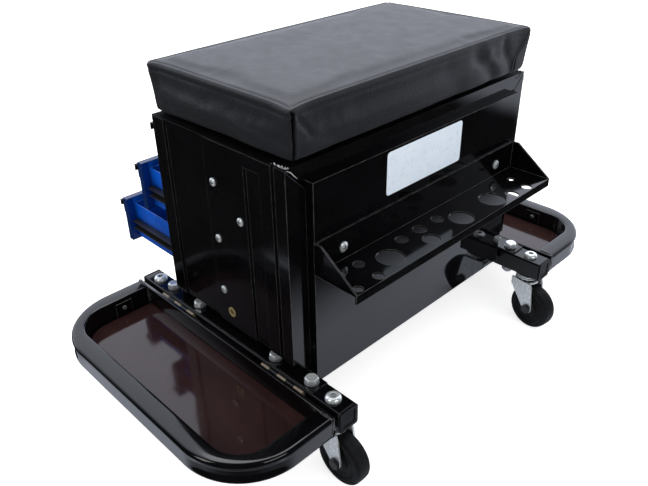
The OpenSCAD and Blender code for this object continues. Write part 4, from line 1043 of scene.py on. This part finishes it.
# Weld marks. A run's last number is its count of points
EDGE_AT, CORNER_AT, END_AT = np.array(((192, 99, 337.8), (192, 118, 337.2), (185, 123.8, 329))) * MM
SECOND_AT = EDGE_AT + (0, 8 * MM, 0)
CORNER_RUNS = ((EDGE_AT, CORNER_AT, 16), (CORNER_AT, END_AT, 9), (SECOND_AT, CORNER_AT, 9))
CORNER_BEAD, CORNER_STRAY, CORNER_SEED = 0.42 * MM, 1.1, 31
FOOT_RUN = ((0, 122 * MM), mm(4, 124), mm(9, 124))
FOOT_BEAD, FOOT_SUNK, FOOT_SEED = 0.9 * MM, 0.2 * MM, 37
DROPS_AT, DROPS_SPREAD = mm(191, 113), mm(1.2, 6, 1.4)
DROP_COUNT, DROP_SEED, DROP_RADII, DROP_RINGS, DROP_SIDES = 24, 33, (0.25, 0.75), 5, 8


def spatter(centre):
    """Small drops of weld metal strewn about a place."""
    draw = np.random.default_rng(DROP_SEED)
    parts = []
    for _ in range(DROP_COUNT):
        radius = draw.uniform(*DROP_RADII)
        turns = [math.pi * k / DROP_RINGS for k in range(1, DROP_RINGS)]
        rows = [(radius * math.sin(turn), radius * math.cos(turn)) for turn in turns]
        drop = turned(rows, sides=DROP_SIDES)
        place = Vector(centre) + Vector(draw.normal(size=3) * np.array(DROPS_SPREAD))
        parts.append(placed(drop, Matrix.Translation(place)))
    return parts


def make_welds():
    """Weld beads and spatter at the cabinet's rear corners and where its rails meet the base tubes."""
    cabinet_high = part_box("cabinet_top")[1][2]
    rail_low, rail_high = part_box("base_tube_left")
    foot_x, foot_z = rail_low[0] - FOOT_SUNK, rail_high[2] - FOOT_SUNK
    parts = []
    draw = np.random.default_rng(CORNER_SEED)
    for side in (1, -1):
        for start, stop, count in CORNER_RUNS:
            path = []
            for k in range(count):
                stray = draw.uniform(-CORNER_STRAY, CORNER_STRAY, 3) * MM
                x, y, z = start + (stop - start) * k / (count - 1) + stray
                path.append((side * x, y, z))
            parts.append(weld_bead(path, CORNER_BEAD, CORNER_SEED + count))
        parts += spatter((side * DROPS_AT[0], DROPS_AT[1], cabinet_high - MM))
        parts.append(weld_bead([(side * (foot_x + x), y, foot_z) for x, y in FOOT_RUN], FOOT_BEAD, FOOT_SEED))
    piece = new_piece("corner_welds", *joined(parts))
    smooth_outward(piece, 60)
    finish_piece(piece, "cabinet", "zinc", STEEL)


make_wheels()
make_fasteners()
make_welds()


# Studio
WHITE = (1, 1, 1, 1)
FLOOR_HALF = 6.0
FLOOR_WHITE = (0.8, 0.8, 0.8, 1)
FLOOR_GLOW, BOUNCE_GLOW = 0.72, 0.12
MIRRORED_WHITE, MIRRORED_GLOW = (0.56, 0.6, 0.71, 1), 0.12
MIRROR_TINT = (0.93, 0.98, 1.12, 1)
SHEET_TOWARDS_CAMERA = ((0.73, 0.68, 0.0), (0.28, 0.43))
SHEET_SIDES = (((1, 0, 0), (0.41, 0.47)), ((0, 1, 0), (0.25, 0.385)), ((0, -1, 0), (0.17, 0.25)))
SHEET_FAR_OFF = ((-1, 0, 0), (0.84, 1.02))
SKY_DARK, SKY_BRIGHT = 0.02, 1.55
SKY_TOWARDS_WALL = ((-0.68, -0.73, 0.0), (-0.05, 0.45))
FILL_LEVEL, FILL_OVERHEAD = 0.1, 1.3
FILL_UPWARDS = ((0, 0, 1), (0.0, 0.9))
LAMP_AIM = Vector((0, 0, 0.2))
LAMPS = {"top_softbox": ((-0.3, -0.2, 1.9), (1.6, 1.2), 14),
         "side_softbox": ((1.7, -0.2, 1.2), (0.5, 1.0), 6),
         "rear_softbox": ((0.3, 1.9, 1.1), (1.0, 0.5), 6)}


class Stage(NodeTree):
    """The floor's material or the world, with a look of its own for each kind of ray."""

    def __init__(self, owner, output):
        super().__init__(owner)
        self.tree.nodes.clear()
        self.out = self.node(output)
        self.ray = self.node("ShaderNodeLightPath").outputs

    def light(self, kind, strength, colour=WHITE):
        return self.node(kind, {"Color": colour, "Strength": strength}).outputs[0]

    def span(self, place, along, start, end):
        """From start to end over a stretch of the way that along names."""
        way, reach = along
        return self.ramp(self.dot(place, way), *reach, start, end, "SMOOTHSTEP")

    def mix(self, share, first, second):
        return self.node("ShaderNodeMixShader", {0: share, 1: first, 2: second}).outputs[0]

    def by_ray(self, seen, mirrored, lighting):
        """One look for the camera and through glass, one in gloss and one for the light it gives."""
        shown = self.math("MAXIMUM", self.ray["Is Camera Ray"], self.ray["Is Transmission Ray"])
        rest = self.mix(self.ray["Is Glossy Ray"], lighting, mirrored)
        self.link(self.mix(shown, rest, seen), self.out.inputs["Surface"])


def make_floor():
    """White floor that keeps the object's shadow. In gloss only a near sheet and one far off are lit."""
    corners = [(x * FLOOR_HALF, y * FLOOR_HALF, 0) for x, y in ((-1, -1), (1, -1), (1, 1), (-1, 1))]
    floor = new_piece("floor", corners, [(0, 1, 2, 3)], smooth=False)
    material = bpy.data.materials.new("floor")
    stage = Stage(material, "ShaderNodeOutputMaterial")
    place = stage.node("ShaderNodeTexCoord").outputs["Object"]

    def glowing(colour, strength):
        diffuse = stage.node("ShaderNodeBsdfDiffuse", {"Color": colour}).outputs[0]
        glow = stage.light("ShaderNodeEmission", strength)
        return stage.node("ShaderNodeAddShader", {0: diffuse, 1: glow}).outputs[0]

    lit = stage.span(place, SHEET_TOWARDS_CAMERA, 1, 0)
    for side in SHEET_SIDES:
        lit = stage.math("MULTIPLY", lit, stage.span(place, side, 1, 0))
    lit = stage.math("MAXIMUM", lit, stage.span(place, SHEET_FAR_OFF, 0, 1))
    dark = stage.light("ShaderNodeEmission", SKY_DARK)
    mirrored = stage.mix(lit, dark, glowing(MIRRORED_WHITE, MIRRORED_GLOW))
    stage.by_ray(glowing(FLOOR_WHITE, FLOOR_GLOW), mirrored, glowing(FLOOR_WHITE, BOUNCE_GLOW))
    floor.data.materials.append(material)


def make_sky():
    """White behind the object, light from overhead, and in gloss a bright far wall in a dark room."""
    world = bpy.data.worlds.new("studio")
    bpy.context.scene.world = world
    stage = Stage(world, "ShaderNodeOutputWorld")
    place = stage.node("ShaderNodeTexCoord").outputs["Generated"]
    room = stage.span(place, SKY_TOWARDS_WALL, SKY_DARK, SKY_BRIGHT)
    fill = stage.span(place, FILL_UPWARDS, FILL_LEVEL, FILL_OVERHEAD)
    looks = ((1.0, WHITE), (room, MIRROR_TINT), (fill, WHITE))
    stage.by_ray(*(stage.light("ShaderNodeBackground", strength, colour) for strength, colour in looks))


def make_lamp(name, place, size, power):
    data = bpy.data.lights.new(name, "AREA")
    data.shape = "RECTANGLE"
    data.size, data.size_y = size
    data.energy = power
    lamp = add_object(name, data)
    lamp.location = place
    lamp.rotation_mode = "QUATERNION"
    lamp.rotation_quaternion = (LAMP_AIM - Vector(place)).to_track_quat("-Z", "Y")


make_floor()
make_sky()
for lamp_name, lamp in LAMPS.items():
    make_lamp(lamp_name, *lamp)
